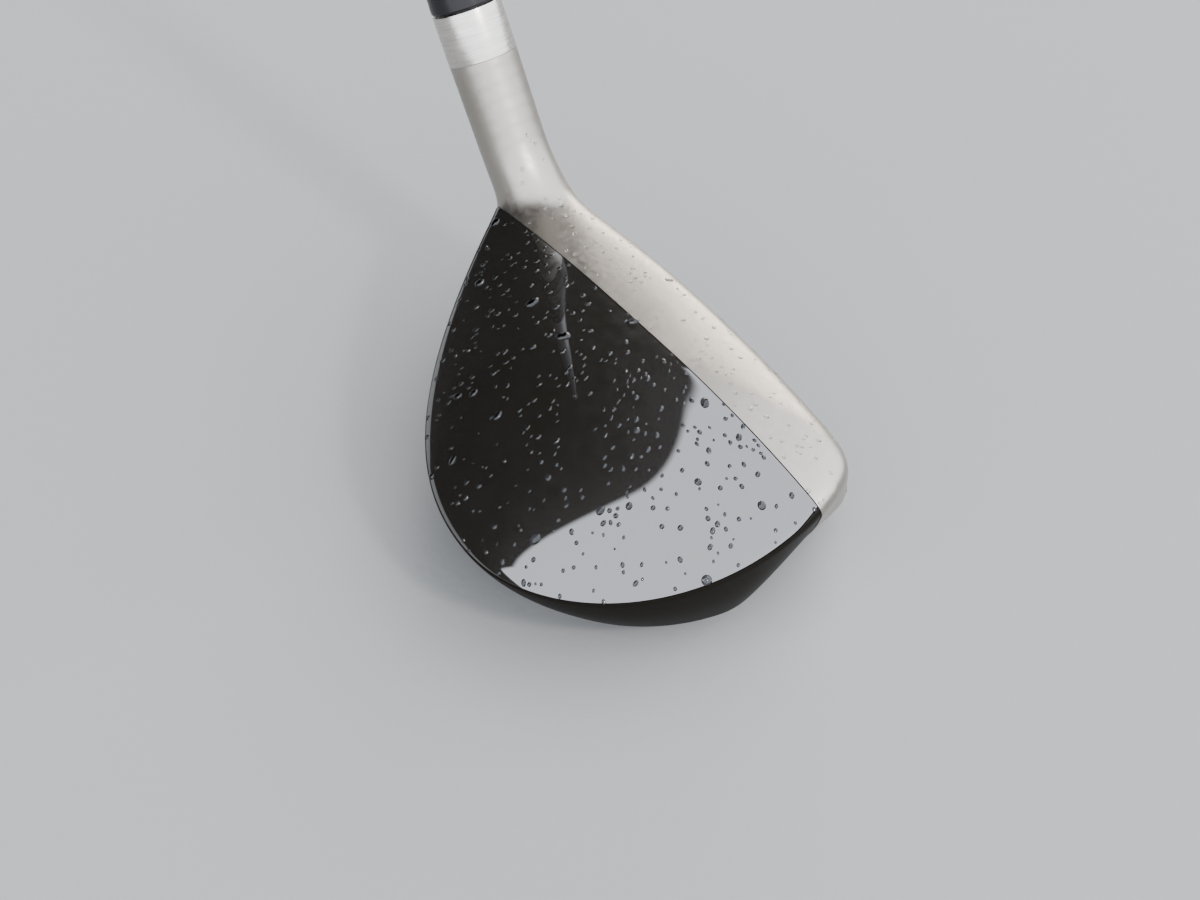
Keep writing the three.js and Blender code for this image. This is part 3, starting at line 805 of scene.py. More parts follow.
@dataclass
class HeadForm:
    """Outside of the head, as a map from a ball: crown on top, skirt and face round, sole below."""

    toe_reach: float = 0.0455
    heel_reach: float = 0.0585
    back_reach: float = 0.034
    front_reach: float = 0.027
    toe_corner: float = 0.011
    toe_side_y: float = 0.007
    back_x: float = 0.008
    waist: Vector = field(default_factory=lambda: Vector((-0.050, 0.009)))
    axis_y: float = 0.022
    rim_z: float = 0.027
    rim_tilt: Vector = field(default_factory=lambda: Vector((-0.055, 0.245)))
    crown_peak: Vector = field(default_factory=lambda: Vector((-0.004, 0.009, 0.038)))
    crown_fullness: float = 0.25
    heel_turn: float = 0.005
    waist_entry: Vector = field(default_factory=lambda: Vector((0.004, 0.0056)))
    waist_exit: Vector = field(default_factory=lambda: Vector((0.019, 0.028)))
    back_pull_heel: float = 0.022
    back_pull_toe: float = 0.019
    toe_side_pull: float = 0.023
    toe_corner_pull: Vector = field(default_factory=lambda: Vector((0.003, 0.006)))
    face_bulge: float = 0.002
    face_bulge_pull: float = 0.022
    heel_corner: float = 0.018
    heel_corner_pull: float = 0.010
    heel_corner_round: float = 0.0015
    face_blend: float = 0.004
    arc_steps: int = 60
    topline_rise: float = 0.001
    seam_y: float = 0.0135
    seam_z: float = 0.037
    seam_tilt_deg: float = 15.0
    loft_deg: float = 21.0
    leading_edge_z: float = 0.003
    face_rocker: float = 0.0045
    skirt_inset_toe: float = 0.007
    face_inset_toe: float = 0.015
    skirt_inset_back: float = 0.0075
    skirt_inset_heel: float = 0.0105
    skirt_bulge: float = 0.0009
    sole_edge_back_z: float = 0.0085
    sole_edge_side_z: float = 0.007
    sole_flat_share: float = 0.34
    sole_camber: float = 1.8
    crown_share: float = 0.42
    side_share: float = 0.28
    around: int = 240
    rows: int = 100
    topline_roll: float = 0.006
    toe_roll: float = 0.009
    toe_roll_start: float = 0.015
    toe_roll_end: float = 0.035
    roll_behind: float = 0.003
    roll_steps: int = 5
    roll_passes: int = 3

    def __post_init__(self) -> None:
        """Samples the plan outline at even spacing along its length."""
        self.blank: BMesh | None = None
        toe, heel, back, front = (
            self.toe_reach, -self.heel_reach, -self.back_reach, self.front_reach)
        waist = self.waist
        toe_corner, heel_corner = toe - self.toe_corner, heel + self.heel_corner
        bulged = front + self.face_bulge
        arcs = [
            ((heel, self.axis_y), (heel, self.axis_y - self.heel_turn),
             (waist.x - self.waist_entry.x, waist.y + self.waist_entry.y), (waist.x, waist.y)),
            ((waist.x, waist.y), (waist.x + self.waist_exit.x, waist.y - self.waist_exit.y),
             (self.back_x - self.back_pull_heel, back), (self.back_x, back)),
            ((self.back_x, back), (self.back_x + self.back_pull_toe, back),
             (toe, self.toe_side_y - self.toe_side_pull), (toe, self.toe_side_y)),
            ((toe, self.toe_side_y), (toe, front - self.toe_corner_pull.y),
             (toe - self.toe_corner_pull.x, front), (toe_corner, front)),
            ((toe_corner, front), (toe_corner - self.face_bulge_pull, bulged),
             (heel_corner + self.face_bulge_pull, bulged), (heel_corner, front)),
            ((heel_corner, front), (heel_corner - self.heel_corner_pull, front),
             (heel, front - self.heel_corner_round), (heel, self.axis_y)),
        ]
        self.outline: list[Vector] = []
        self.lengths: list[float] = [0.0]
        for arc in arcs:
            ends = [Vector(point) for point in arc]
            for step in range(self.arc_steps):
                share = step / self.arc_steps
                rest = 1.0 - share
                self.outline.append(
                    ends[0] * rest ** 3 + ends[1] * 3 * rest ** 2 * share
                    + ends[2] * 3 * rest * share ** 2 + ends[3] * share ** 3
                )
        self.outline.append(self.outline[0].copy())
        for here, there in zip(self.outline, self.outline[1:]):
            self.lengths.append(self.lengths[-1] + (there - here).length)

    def plan_point(self, turn: float) -> Vector:
        """Finds a point of the rim in plan.

        Args:
            turn: Share of the way round, from the heel by the back and toe.

        Returns:
            The point.
        """
        goal = (turn % 1.0) * self.lengths[-1]
        low, high = 0, len(self.lengths) - 1
        while high - low > 1:
            middle = (low + high) // 2
            if self.lengths[middle] <= goal:
                low = middle
            else:
                high = middle
        span = self.lengths[high] - self.lengths[low]
        return self.outline[low].lerp(self.outline[high], (goal - self.lengths[low]) / span)

    def rim_plane_z(self, plan: Vector) -> float:
        """Gives the height of the rim plane over a point in plan."""
        return self.rim_z + self.rim_tilt.x * plan.x + self.rim_tilt.y * plan.y

    def face_share(self, plan: Vector) -> float:
        """Gives 1 along the face and 0 round the back."""
        return smoothstep(self.seam_y, self.front_reach - self.face_blend, plan.y)

    def side_ratio(self, plan: Vector) -> float:
        """Gives how far out a point is, 1 at the toe's end and -1 at the heel's."""
        return plan.x / (self.toe_reach if plan.x > 0 else self.heel_reach)

    def rim_point(self, plan: Vector) -> Vector:
        """Finds the top edge of the side above a plan point."""
        share = self.face_share(plan)
        z = self.rim_plane_z(plan) + self.topline_rise * share * (1 - self.side_ratio(plan) ** 2)
        return Vector((plan.x, plan.y, z))

    def sole_edge_point(self, plan: Vector, top: Vector) -> Vector:
        """Finds the edge of the sole below a plan point.

        Args:
            plan: The rim in plan.
            top: The rim point above it.

        Returns:
            The point on the sole's edge.
        """
        share = self.face_share(plan)
        ratio = self.side_ratio(plan)
        toe_inset = mix(
            self.skirt_inset_toe, self.face_inset_toe, smoothstep(0.0, self.front_reach, plan.y))
        inset = -toe_inset if plan.x > 0 else self.skirt_inset_heel
        backward = max(0.0, -plan.y / self.back_reach)
        skirt_z = mix(self.sole_edge_side_z, self.sole_edge_back_z, backward)
        z = mix(skirt_z, self.leading_edge_z + self.face_rocker * ratio ** 2, share)
        forward = (top.z - z) * math.tan(math.radians(self.loft_deg)) * share
        return Vector((
            plan.x + inset * ratio ** 2, top.y + forward + self.skirt_inset_back * backward, z))

    def point(self, turn: float, down: float) -> Vector:
        """Finds a point on the outside of the head.

        Args:
            turn: Share of the way round the rim.
            down: Share of the way from the crown's peak over the rim to the sole's middle.

        Returns:
            The point.
        """
        plan = self.plan_point(turn)
        top = self.rim_point(plan)
        if down <= self.crown_share:
            out = down / self.crown_share
            place = self.crown_peak.lerp(top, out)
            fall = mix(out ** 2, out ** 4, self.crown_fullness)
            place.z = mix(self.crown_peak.z, top.z, fall)
            return place
        low = self.sole_edge_point(plan, top)
        if down <= self.crown_share + self.side_share:
            fall = (down - self.crown_share) / self.side_share
            outward = Vector((top.x, top.y, 0.0)).normalized()
            swell = self.skirt_bulge * (1 - self.face_share(plan)) * math.sin(math.pi * fall)
            return top.lerp(low, fall) + outward * swell
        out = (1.0 - down) / (1.0 - self.crown_share - self.side_share)
        climb = max(0.0, (out - self.sole_flat_share) / (1 - self.sole_flat_share))
        return Vector((low.x * out, low.y * out, low.z * climb ** self.sole_camber))

    def ball(self) -> BMesh:
        """Builds the closed outside of the head.

        Returns:
            A fresh copy of the solid.
        """
        if self.blank is None:
            self.blank = bmesh.new()
            bmesh.ops.create_uvsphere(
                self.blank, u_segments=self.around, v_segments=self.rows, radius=1.0)
            for vertex in self.blank.verts:
                fall = math.acos(max(-1.0, min(1.0, vertex.co.z))) / math.pi
                turn = ((math.atan2(vertex.co.y, vertex.co.x) - math.pi) / math.tau) % 1.0
                vertex.co = self.point(turn, round(fall * self.rows) / self.rows)
            self.soften_front(self.blank)
        return self.blank.copy()

    def soften_front(self, solid: BMesh) -> None:
        """Rolls the topline and the toe corner over softly, most at their middle.

        Args:
            solid: The closed outside of the head.
        """
        for step in range(self.roll_steps):
            share = 1.0 - step / self.roll_steps
            behind = self.seam_y - self.roll_behind + 2 * self.roll_behind * (1.0 - share)
            near = []
            for vertex in solid.verts:
                at_toe = smoothstep(self.toe_roll_start, self.toe_roll_end, vertex.co.x)
                reach = share * mix(self.topline_roll, self.toe_roll, at_toe)
                away = abs(vertex.co.z - self.rim_plane_z(vertex.co))
                if vertex.co.y > behind and away < reach:
                    near.append(vertex)
            self.soften(solid, near, self.roll_passes)

    def drawn_in(self, depth: float) -> BMesh:
        """Builds the head drawn in towards its middle, so that a wall of a depth is left outside.

        Args:
            depth: Thickness of that wall.

        Returns:
            The solid.
        """
        solid = self.ball()
        points = [vertex.co for vertex in solid.verts]
        low = Vector([min(point[axis] for point in points) for axis in range(3)])
        high = Vector([max(point[axis] for point in points) for axis in range(3)])
        middle, half = (low + high) / 2, (high - low) / 2
        shrink = Matrix.Diagonal([1.0 - depth / half[axis] for axis in range(3)] + [1.0])
        solid.transform(Matrix.Translation(middle) @ shrink @ Matrix.Translation(-middle))
        return solid

    def soften(self, solid: BMesh, points: list[bmesh.types.BMVert], rounds: int) -> None:
        """Rounds off the ridges of a mesh a little.

        Args:
            solid: The mesh.
            points: Its points that may move.
            rounds: Number of passes.
        """
        for _ in range(rounds):
            bmesh.ops.smooth_vert(
                solid, verts=points, factor=0.5, use_axis_x=True, use_axis_y=True, use_axis_z=True)

    def seam(self, forward: float) -> tuple[Vector, Vector]:
        """Gives the seam plane between front and rear.

        Args:
            forward: Distance that it is moved towards the face.

        Returns:
            A point on it and its normal, pointing to the face.
        """
        tilt = math.radians(self.seam_tilt_deg)
        normal = Vector((0.0, math.cos(tilt), math.sin(tilt)))
        return Vector((0.0, self.seam_y, self.seam_z)) + normal * forward, normal

    def rim(self, raised: float) -> tuple[Vector, Vector]:
        """Gives the rim plane between crown and skirt.

        Args:
            raised: Distance that it is moved up.

        Returns:
            A point on it and its normal, pointing up.
        """
        normal = Vector((-self.rim_tilt.x, -self.rim_tilt.y, 1.0)).normalized()
        return Vector((0.0, 0.0, self.rim_z)) + normal * raised, normal


@dataclass
class FaceWindow:
    """Outline of the face plate, as a prism that runs forward through the face."""

    form: HeadForm
    heel_x: float = -0.029
    margin: float = 0.0036
    corner: float = 0.005
    depth: float = 0.008
    length: float = 0.06
    side_steps: int = 24
    corner_steps: int = 8

    def outline(self, inset: float) -> list[Vector]:
        """Traces the window in X and Z.

        Args:
            inset: Distance inside the margin.

        Returns:
            The points of the closed outline.
        """
        form = self.form
        inset += self.margin
        heel, toe = self.heel_x + inset, form.toe_reach - form.toe_corner - inset

        def droop(x: float) -> float:
            return (x / form.toe_reach) ** 2

        def low(x: float) -> float:
            return form.leading_edge_z + form.face_rocker * droop(x) + inset

        def high(x: float) -> float:
            plane = form.rim_plane_z(Vector((x, form.front_reach)))
            return plane + form.topline_rise * (1 - droop(x)) - inset

        steps, corner = self.side_steps, self.corner
        xs = [mix(heel + corner, toe - corner, step / steps) for step in range(steps + 1)]
        outline = [(x, low(x)) for x in xs]
        outline += self.arc(
            (toe - corner, low(toe)), (toe, low(toe)), (toe, low(toe) + corner))
        outline += self.arc(
            (toe, high(toe) - corner), (toe, high(toe)), (toe - corner, high(toe)))
        outline += [(x, high(x)) for x in reversed(xs)]
        outline += self.arc(
            (heel + corner, high(heel)), (heel, high(heel)), (heel, high(heel) - corner))
        outline += self.arc(
            (heel, low(heel) + corner), (heel, low(heel)), (heel + corner, low(heel)))
        return [Vector(point) for point in outline]

    def arc(self, start: tuple, middle: tuple, end: tuple) -> list[tuple[float, float]]:
        """Rounds a corner from start to end, leaving the two end points out."""
        start, middle, end = Vector(start), Vector(middle), Vector(end)
        shares = [step / self.corner_steps for step in range(1, self.corner_steps)]
        return [tuple(start.lerp(middle, u).lerp(middle.lerp(end, u), u)) for u in shares]

    def prism(self, inset: float) -> BMesh:
        """Builds the prism of the window.

        Args:
            inset: Distance inside the margin.

        Returns:
            The solid.
        """
        solid = bmesh.new()
        start = self.form.front_reach - self.depth
        rim = [solid.verts.new((point.x, start, point.y)) for point in self.outline(inset)]
        base = solid.faces.new(rim)
        grown = bmesh.ops.extrude_face_region(solid, geom=[base])
        far = [item for item in grown["geom"] if isinstance(item, bmesh.types.BMVert)]
        bmesh.ops.translate(solid, verts=far, vec=(0.0, self.length, 0.0))
        bmesh.ops.recalc_face_normals(solid, faces=solid.faces[:])
        bmesh.ops.triangulate(solid, faces=solid.faces[:])
        return solid


@dataclass
class FrontBody:
    """Bare steel front of the head, with the neck and hosel cast in one with it."""

    form: HeadForm
    gap: float = 0.00012
    hosel_radius: float = 0.00675
    neck_root: float = 0.024
    neck_start: float = 0.049
    neck_flare: float = 0.009
    voxel: float = 0.0006
    neck_top: float = 0.072
    neck_around: int = 72
    neck_rows: int = 40
    seat_depth: float = 0.0024
    all_passes: int = 8
    topline_band: float = 0.006
    topline_heel_x: float = -0.04
    topline_passes: int = 14
    leading_height: float = 0.012
    leading_from_seam: float = 0.004
    leading_passes: int = 18
    fillet_middle: Vector = field(default_factory=lambda: Vector((0.006, 0.0, 0.038)))
    fillet_reach: float = 0.030
    fillet_core: float = 0.012
    fillet_steps: int = 7
    fillet_passes: int = 9

    def neck(self) -> BMesh:
        """Builds the bar of the neck, which widens towards the toe where it meets the head."""
        bar = bmesh.new()
        bmesh.ops.create_cone(
            bar, cap_ends=True, segments=self.neck_around, radius1=1.0, radius2=1.0, depth=1.0)
        upright = [
            edge for edge in bar.edges if abs(edge.verts[0].co.z - edge.verts[1].co.z) > 0.5]
        bmesh.ops.subdivide_edges(bar, edges=upright, cuts=self.neck_rows, use_grid_fill=False)
        for vertex in bar.verts:
            along = mix(self.neck_root, self.neck_top, vertex.co.z + 0.5)
            widening = max(0.0, (self.neck_start - along) / (self.neck_start - self.neck_root))
            flare = self.neck_flare * widening ** 2
            across = vertex.co.x * (self.hosel_radius + flare) + flare
            vertex.co = Vector((across, vertex.co.y * self.hosel_radius, along))
        bar.transform(shaft_matrix())
        return bar

    def solid(self) -> BMesh:
        """Joins head and neck into one smooth solid.

        Returns:
            The whole head with its neck, before it is cut at the seam.
        """
        joined = bmesh.new()
        for part in (self.form.ball(), self.neck()):
            mesh = mesh_from(part, "part")
            joined.from_mesh(mesh)
            bpy.data.meshes.remove(mesh)
        smooth = reshaped(
            mesh_from(joined, "joined"), "REMESH",
            mode="VOXEL", voxel_size=self.voxel, adaptivity=0.0,
        )
        self.form.soften(smooth, smooth.verts[:], self.all_passes)
        topline = [
            vertex for vertex in smooth.verts
            if abs(vertex.co.y - self.form.front_reach) < self.topline_band
            and abs(vertex.co.z - self.form.rim_plane_z(vertex.co)) < self.topline_band
            and vertex.co.x > self.topline_heel_x
        ]
        self.form.soften(smooth, topline, self.topline_passes)
        leading = [
            vertex for vertex in smooth.verts
            if vertex.co.z < self.leading_height
            and vertex.co.y > self.form.seam_y + self.leading_from_seam
        ]
        self.form.soften(smooth, leading, self.leading_passes)
        root = shaft_matrix() @ self.fillet_middle
        for step in range(self.fillet_steps):
            reach = mix(self.fillet_reach, self.fillet_core, step / (self.fillet_steps - 1))
            near = [vertex for vertex in smooth.verts if (vertex.co - root).length < reach]
            self.form.soften(smooth, near, self.fillet_passes)
        return smooth

    def build(self, steel: bpy.types.Material, window: FaceWindow) -> bpy.types.Object:
        """Builds the front body.

        Args:
            steel: Its material.
            window: The window that the face plate sits in.

        Returns:
            The piece.
        """
        solid = self.solid()
        place, forward = self.form.seam(self.gap)
        trim(solid, place, -forward, cap=True)
        top = along_shaft("hosel_collar")[0]
        matrix = shaft_matrix()
        up = matrix.to_3x3() @ Vector((0, 0, 1))
        trim(solid, matrix @ Vector((0, 0, top - self.gap / 3)), up, cap=True)
        seat = combined(window.prism(0.0), self.form.drawn_in(self.seat_depth), "DIFFERENCE")
        solid = combined(solid, seat, "DIFFERENCE")
        return add_piece(
            "front_casting", solid, steel, Body.CLUB, ("front_body",))


@dataclass
class FacePlate:
    """Face plate with its scored lines, set flush in its window."""

    form: HeadForm
    window: FaceWindow
    gap: float = 0.0001
    skin: float = 0.00003
    wall: float = 0.0022
    line_count: int = 8
    pitch: float = 0.0028
    line_width: float = 0.0008
    line_depth: float = 0.0006
    half_length: float = 0.026

    def lines(self) -> BMesh:
        """Builds the cutter of the scored lines."""
        cutter = bmesh.new()
        lowest = self.form.leading_edge_z + self.window.margin + self.pitch
        reach = 2 * self.form.front_reach
        for index in range(self.line_count):
            middle = lowest + index * self.pitch + self.line_width / 2
            size = Matrix.Diagonal((2 * self.half_length, reach, self.line_width, 1.0))
            place = Matrix.Translation((0.0, reach / 2, middle))
            bmesh.ops.create_cube(cutter, size=1.0, matrix=place @ size)
        return combined(cutter, self.form.drawn_in(self.line_depth), "DIFFERENCE")

    def build(self, steel: bpy.types.Material) -> bpy.types.Object:
        """Builds the face plate.

        Args:
            steel: Its material.

        Returns:
            The piece.
        """
        plate = combined(self.form.drawn_in(self.skin), self.window.prism(self.gap), "INTERSECT")
        plate = combined(plate, self.form.drawn_in(self.wall), "DIFFERENCE")
        plate = combined(plate, self.lines(), "DIFFERENCE")
        return add_piece(
            "face_insert", plate, steel, Body.CLUB, ("face_plate",), 20.0)


@dataclass
class Crown:
    """Thin black crown, lapped over the skirt and butted to the front body."""

    form: HeadForm
    gap: float = 0.00006
    inset: float = 0.00014
    wall: float = 0.0012
    edge_band: float = 0.0014
    edge_passes: int = 3
    inner_passes: int = 12

    def build(self, lacquer: bpy.types.Material) -> bpy.types.Object:
        """Builds the crown.

        Args:
            lacquer: Its material.

        Returns:
            The piece.
        """
        shell = self.form.drawn_in(self.inset)
        self.form.soften(shell, shell.verts[:], self.edge_passes)
        place, up = self.form.rim(self.gap)
        inner = [vertex for vertex in shell.verts if (vertex.co - place).dot(up) > self.edge_band]
        self.form.soften(shell, inner, self.inner_passes)
        trim(shell, place, -up, cap=False)
        place, forward = self.form.seam(-self.gap)
        trim(shell, place, forward, cap=False)
        thick = reshaped(
            mesh_from(shell, "crown"), "SOLIDIFY",
            thickness=self.wall, offset=-1.0, use_even_offset=True,
        )
        return add_piece(
            "crown_cover", thick, lacquer, Body.CLUB, ("crown_shell",))


@dataclass
class RearBody:
    """Black skirt and sole behind the front body, with the port's hole and the badge's pocket."""

    form: HeadForm
    gap: float = 0.00006
    inset: float = 0.00014
    wall: float = 0.0013
    edge_passes: int = 2
    hole_clearance: float = 0.0003
    hole_length: float = 0.03
    badge_clearance: float = 0.0002

    def build(self, lacquer: bpy.types.Material) -> bpy.types.Object:
        """Builds the rear body.

        Args:
            lacquer: Its material.

        Returns:
            The piece.
        """
        solid = self.form.drawn_in(self.inset)
        self.form.soften(solid, solid.verts[:], self.edge_passes)
        place, up = self.form.rim(-self.gap)
        trim(solid, place, up, cap=True)
        place, forward = self.form.seam(-self.gap)
        trim(solid, place, forward, cap=True)
        hollow = self.form.drawn_in(self.wall)
        solid = combined(solid, hollow, "DIFFERENCE")
        port = radius_on("weight_port", port_matrix()) + self.hole_clearance
        hole = bmesh.new()
        bmesh.ops.create_cone(
            hole, cap_ends=True, segments=96, radius1=port, radius2=port,
            depth=self.hole_length, matrix=port_matrix())
        solid = combined(solid, hole, "DIFFERENCE")
        pocket = SoleBadge(self.form).prism(self.badge_clearance)
        solid = combined(solid, pocket, "DIFFERENCE")
        return add_piece(
            "rear_casting", solid, lacquer, Body.CLUB, ("rear_body",))


@dataclass
class SoleBadge:
    """Thin plain badge let into the sole."""

    form: HeadForm
    recess: float = 0.0002
    thickness: float = 0.001
    corner_share: float = 0.2
    corner_steps: int = 8

    def prism(self, margin: float) -> BMesh:
        """Builds the upright prism of the badge's outline.

        Args:
            margin: Distance that it is grown by.

        Returns:
            The solid.
        """
        low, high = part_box("sole_badge")
        corner = self.corner_share * (high[0] - low[0])
        solid = bmesh.new()
        bmesh.ops.create_cube(solid, size=1.0)
        bmesh.ops.scale(solid, verts=solid.verts[:], vec=(
            high[0] - low[0] + 2 * margin, high[1] - low[1] + 2 * margin, 10 * self.thickness))
        bmesh.ops.translate(solid, verts=solid.verts[:], vec=(
            (low[0] + high[0]) / 2, (low[1] + high[1]) / 2, low[2]))
        upright = [
            edge for edge in solid.edges
            if abs(edge.verts[0].co.z - edge.verts[1].co.z) > self.thickness
        ]
        bmesh.ops.bevel(
            solid, geom=upright, offset=corner, segments=self.corner_steps, affect="EDGES",
            profile=0.5)
        bmesh.ops.triangulate(solid, faces=solid.faces[:])
        return solid

    def build(self, metal: bpy.types.Material) -> bpy.types.Object:
        """Builds the badge.

        Args:
            metal: Its material.

        Returns:
            The piece.
        """
        plate = combined(self.form.drawn_in(self.recess), self.prism(0.0), "INTERSECT")
        inner = self.form.drawn_in(self.recess + self.thickness)
        plate = combined(plate, inner, "DIFFERENCE")
        return add_piece("inlaid_badge", plate, metal, Body.CLUB, ("sole_badge",))


@dataclass
class WeightPort:
    """Threaded cup in the sole with its screw and sealing washer."""

    screw_radius: float = 0.0056
    head_length: float = 0.0026
    shank_radius: float = 0.0036
    shank_length: float = 0.0046
    recess: float = 0.0005
    socket_radius: float = 0.0023
    socket_depth: float = 0.0026
    washer: float = 0.0007
    clearance: float = 0.0003
    cup_proud: float = 0.0008
    cup_edge: float = 0.0003
    cup_inset: float = 0.00015
    seal_edge: float = 0.0002
    thread_pitch: float = 0.0008
    thread_depth: float = 0.0004
    head_chamfer: float = 0.0005

    def build(
        self, form: HeadForm, steel: bpy.types.Material, rubber: bpy.types.Material,
    ) -> None:
        """Builds cup, washer and screw.

        Args:
            form: The head that the cup's rim is cut back to.
            steel: Material of the cup and the screw.
            rubber: Material of the washer.
        """
        matrix = port_matrix()
        self.cup(form, matrix, steel)
        self.seal(matrix, rubber)
        self.screw(matrix, steel)

    def cup(self, form: HeadForm, matrix: Matrix, steel: bpy.types.Material) -> None:
        """Turns the cup that is fixed in the sole."""
        bore, outer = self.screw_radius + self.clearance, radius_on("weight_port", matrix)
        shoulder = -self.recess - self.head_length - self.washer - 2 * self.clearance
        floor = shoulder - self.shank_length + self.washer
        hole = self.shank_radius + self.clearance
        profile = rounded([
            (bore, self.cup_proud), (outer, self.cup_proud), (outer, floor), (hole, floor),
            (hole, shoulder), (bore, shoulder),
        ], self.cup_edge)
        solid = combined(turned(profile, matrix), form.drawn_in(self.cup_inset), "INTERSECT")
        add_piece("port_cup", solid, steel, Body.CLUB, ("weight_port",))

    def seal(self, matrix: Matrix, rubber: bpy.types.Material) -> None:
        """Turns the washer under the screw's head."""
        low = -self.recess - self.head_length - self.washer - self.clearance
        inner = self.shank_radius + self.clearance
        profile = rounded([
            (inner, low), (self.screw_radius, low), (self.screw_radius, low + self.washer),
            (inner, low + self.washer),
        ], self.seal_edge)
        add_piece(
            "seal_washer", turned(profile, matrix), rubber, Body.WASHER,
            ("weight_washer",))

    def screw(self, matrix: Matrix, steel: bpy.types.Material) -> None:
        """Turns the screw and broaches its hexagon socket."""
        head_top, head_low = -self.recess, -self.recess - self.head_length
        chamfer, bevel, root = (
            self.head_chamfer, self.head_chamfer / 5, self.shank_radius - self.thread_depth)
        profile = [(0.0, head_top), (self.screw_radius - chamfer, head_top)]
        profile += [
            (self.screw_radius - bevel, head_top - bevel),
            (self.screw_radius, head_top - chamfer),
            (self.screw_radius, head_low + 2 * bevel),
            (self.screw_radius - 2 * bevel, head_low),
            (root, head_low),
        ]
        tip = head_low - self.shank_length
        thread = head_low - self.thread_pitch / 2
        while thread > tip + self.thread_pitch:
            profile += [(root, thread), (self.shank_radius, thread - self.thread_pitch / 2)]
            thread -= self.thread_pitch
        profile += [(root - 2 * bevel, tip), (0.0, tip)]
        solid = turned(profile, matrix)
        socket = bmesh.new()
        bmesh.ops.create_cone(
            socket, cap_ends=True, segments=6,
            radius1=self.socket_radius, radius2=self.socket_radius,
            depth=2 * self.socket_depth,
            matrix=matrix @ Matrix.Translation((0.0, 0.0, head_top)))
        solid = combined(solid, socket, "DIFFERENCE")
        add_piece("cap_screw", solid, steel, Body.SCREW, ("weight_screw",), 25.0)


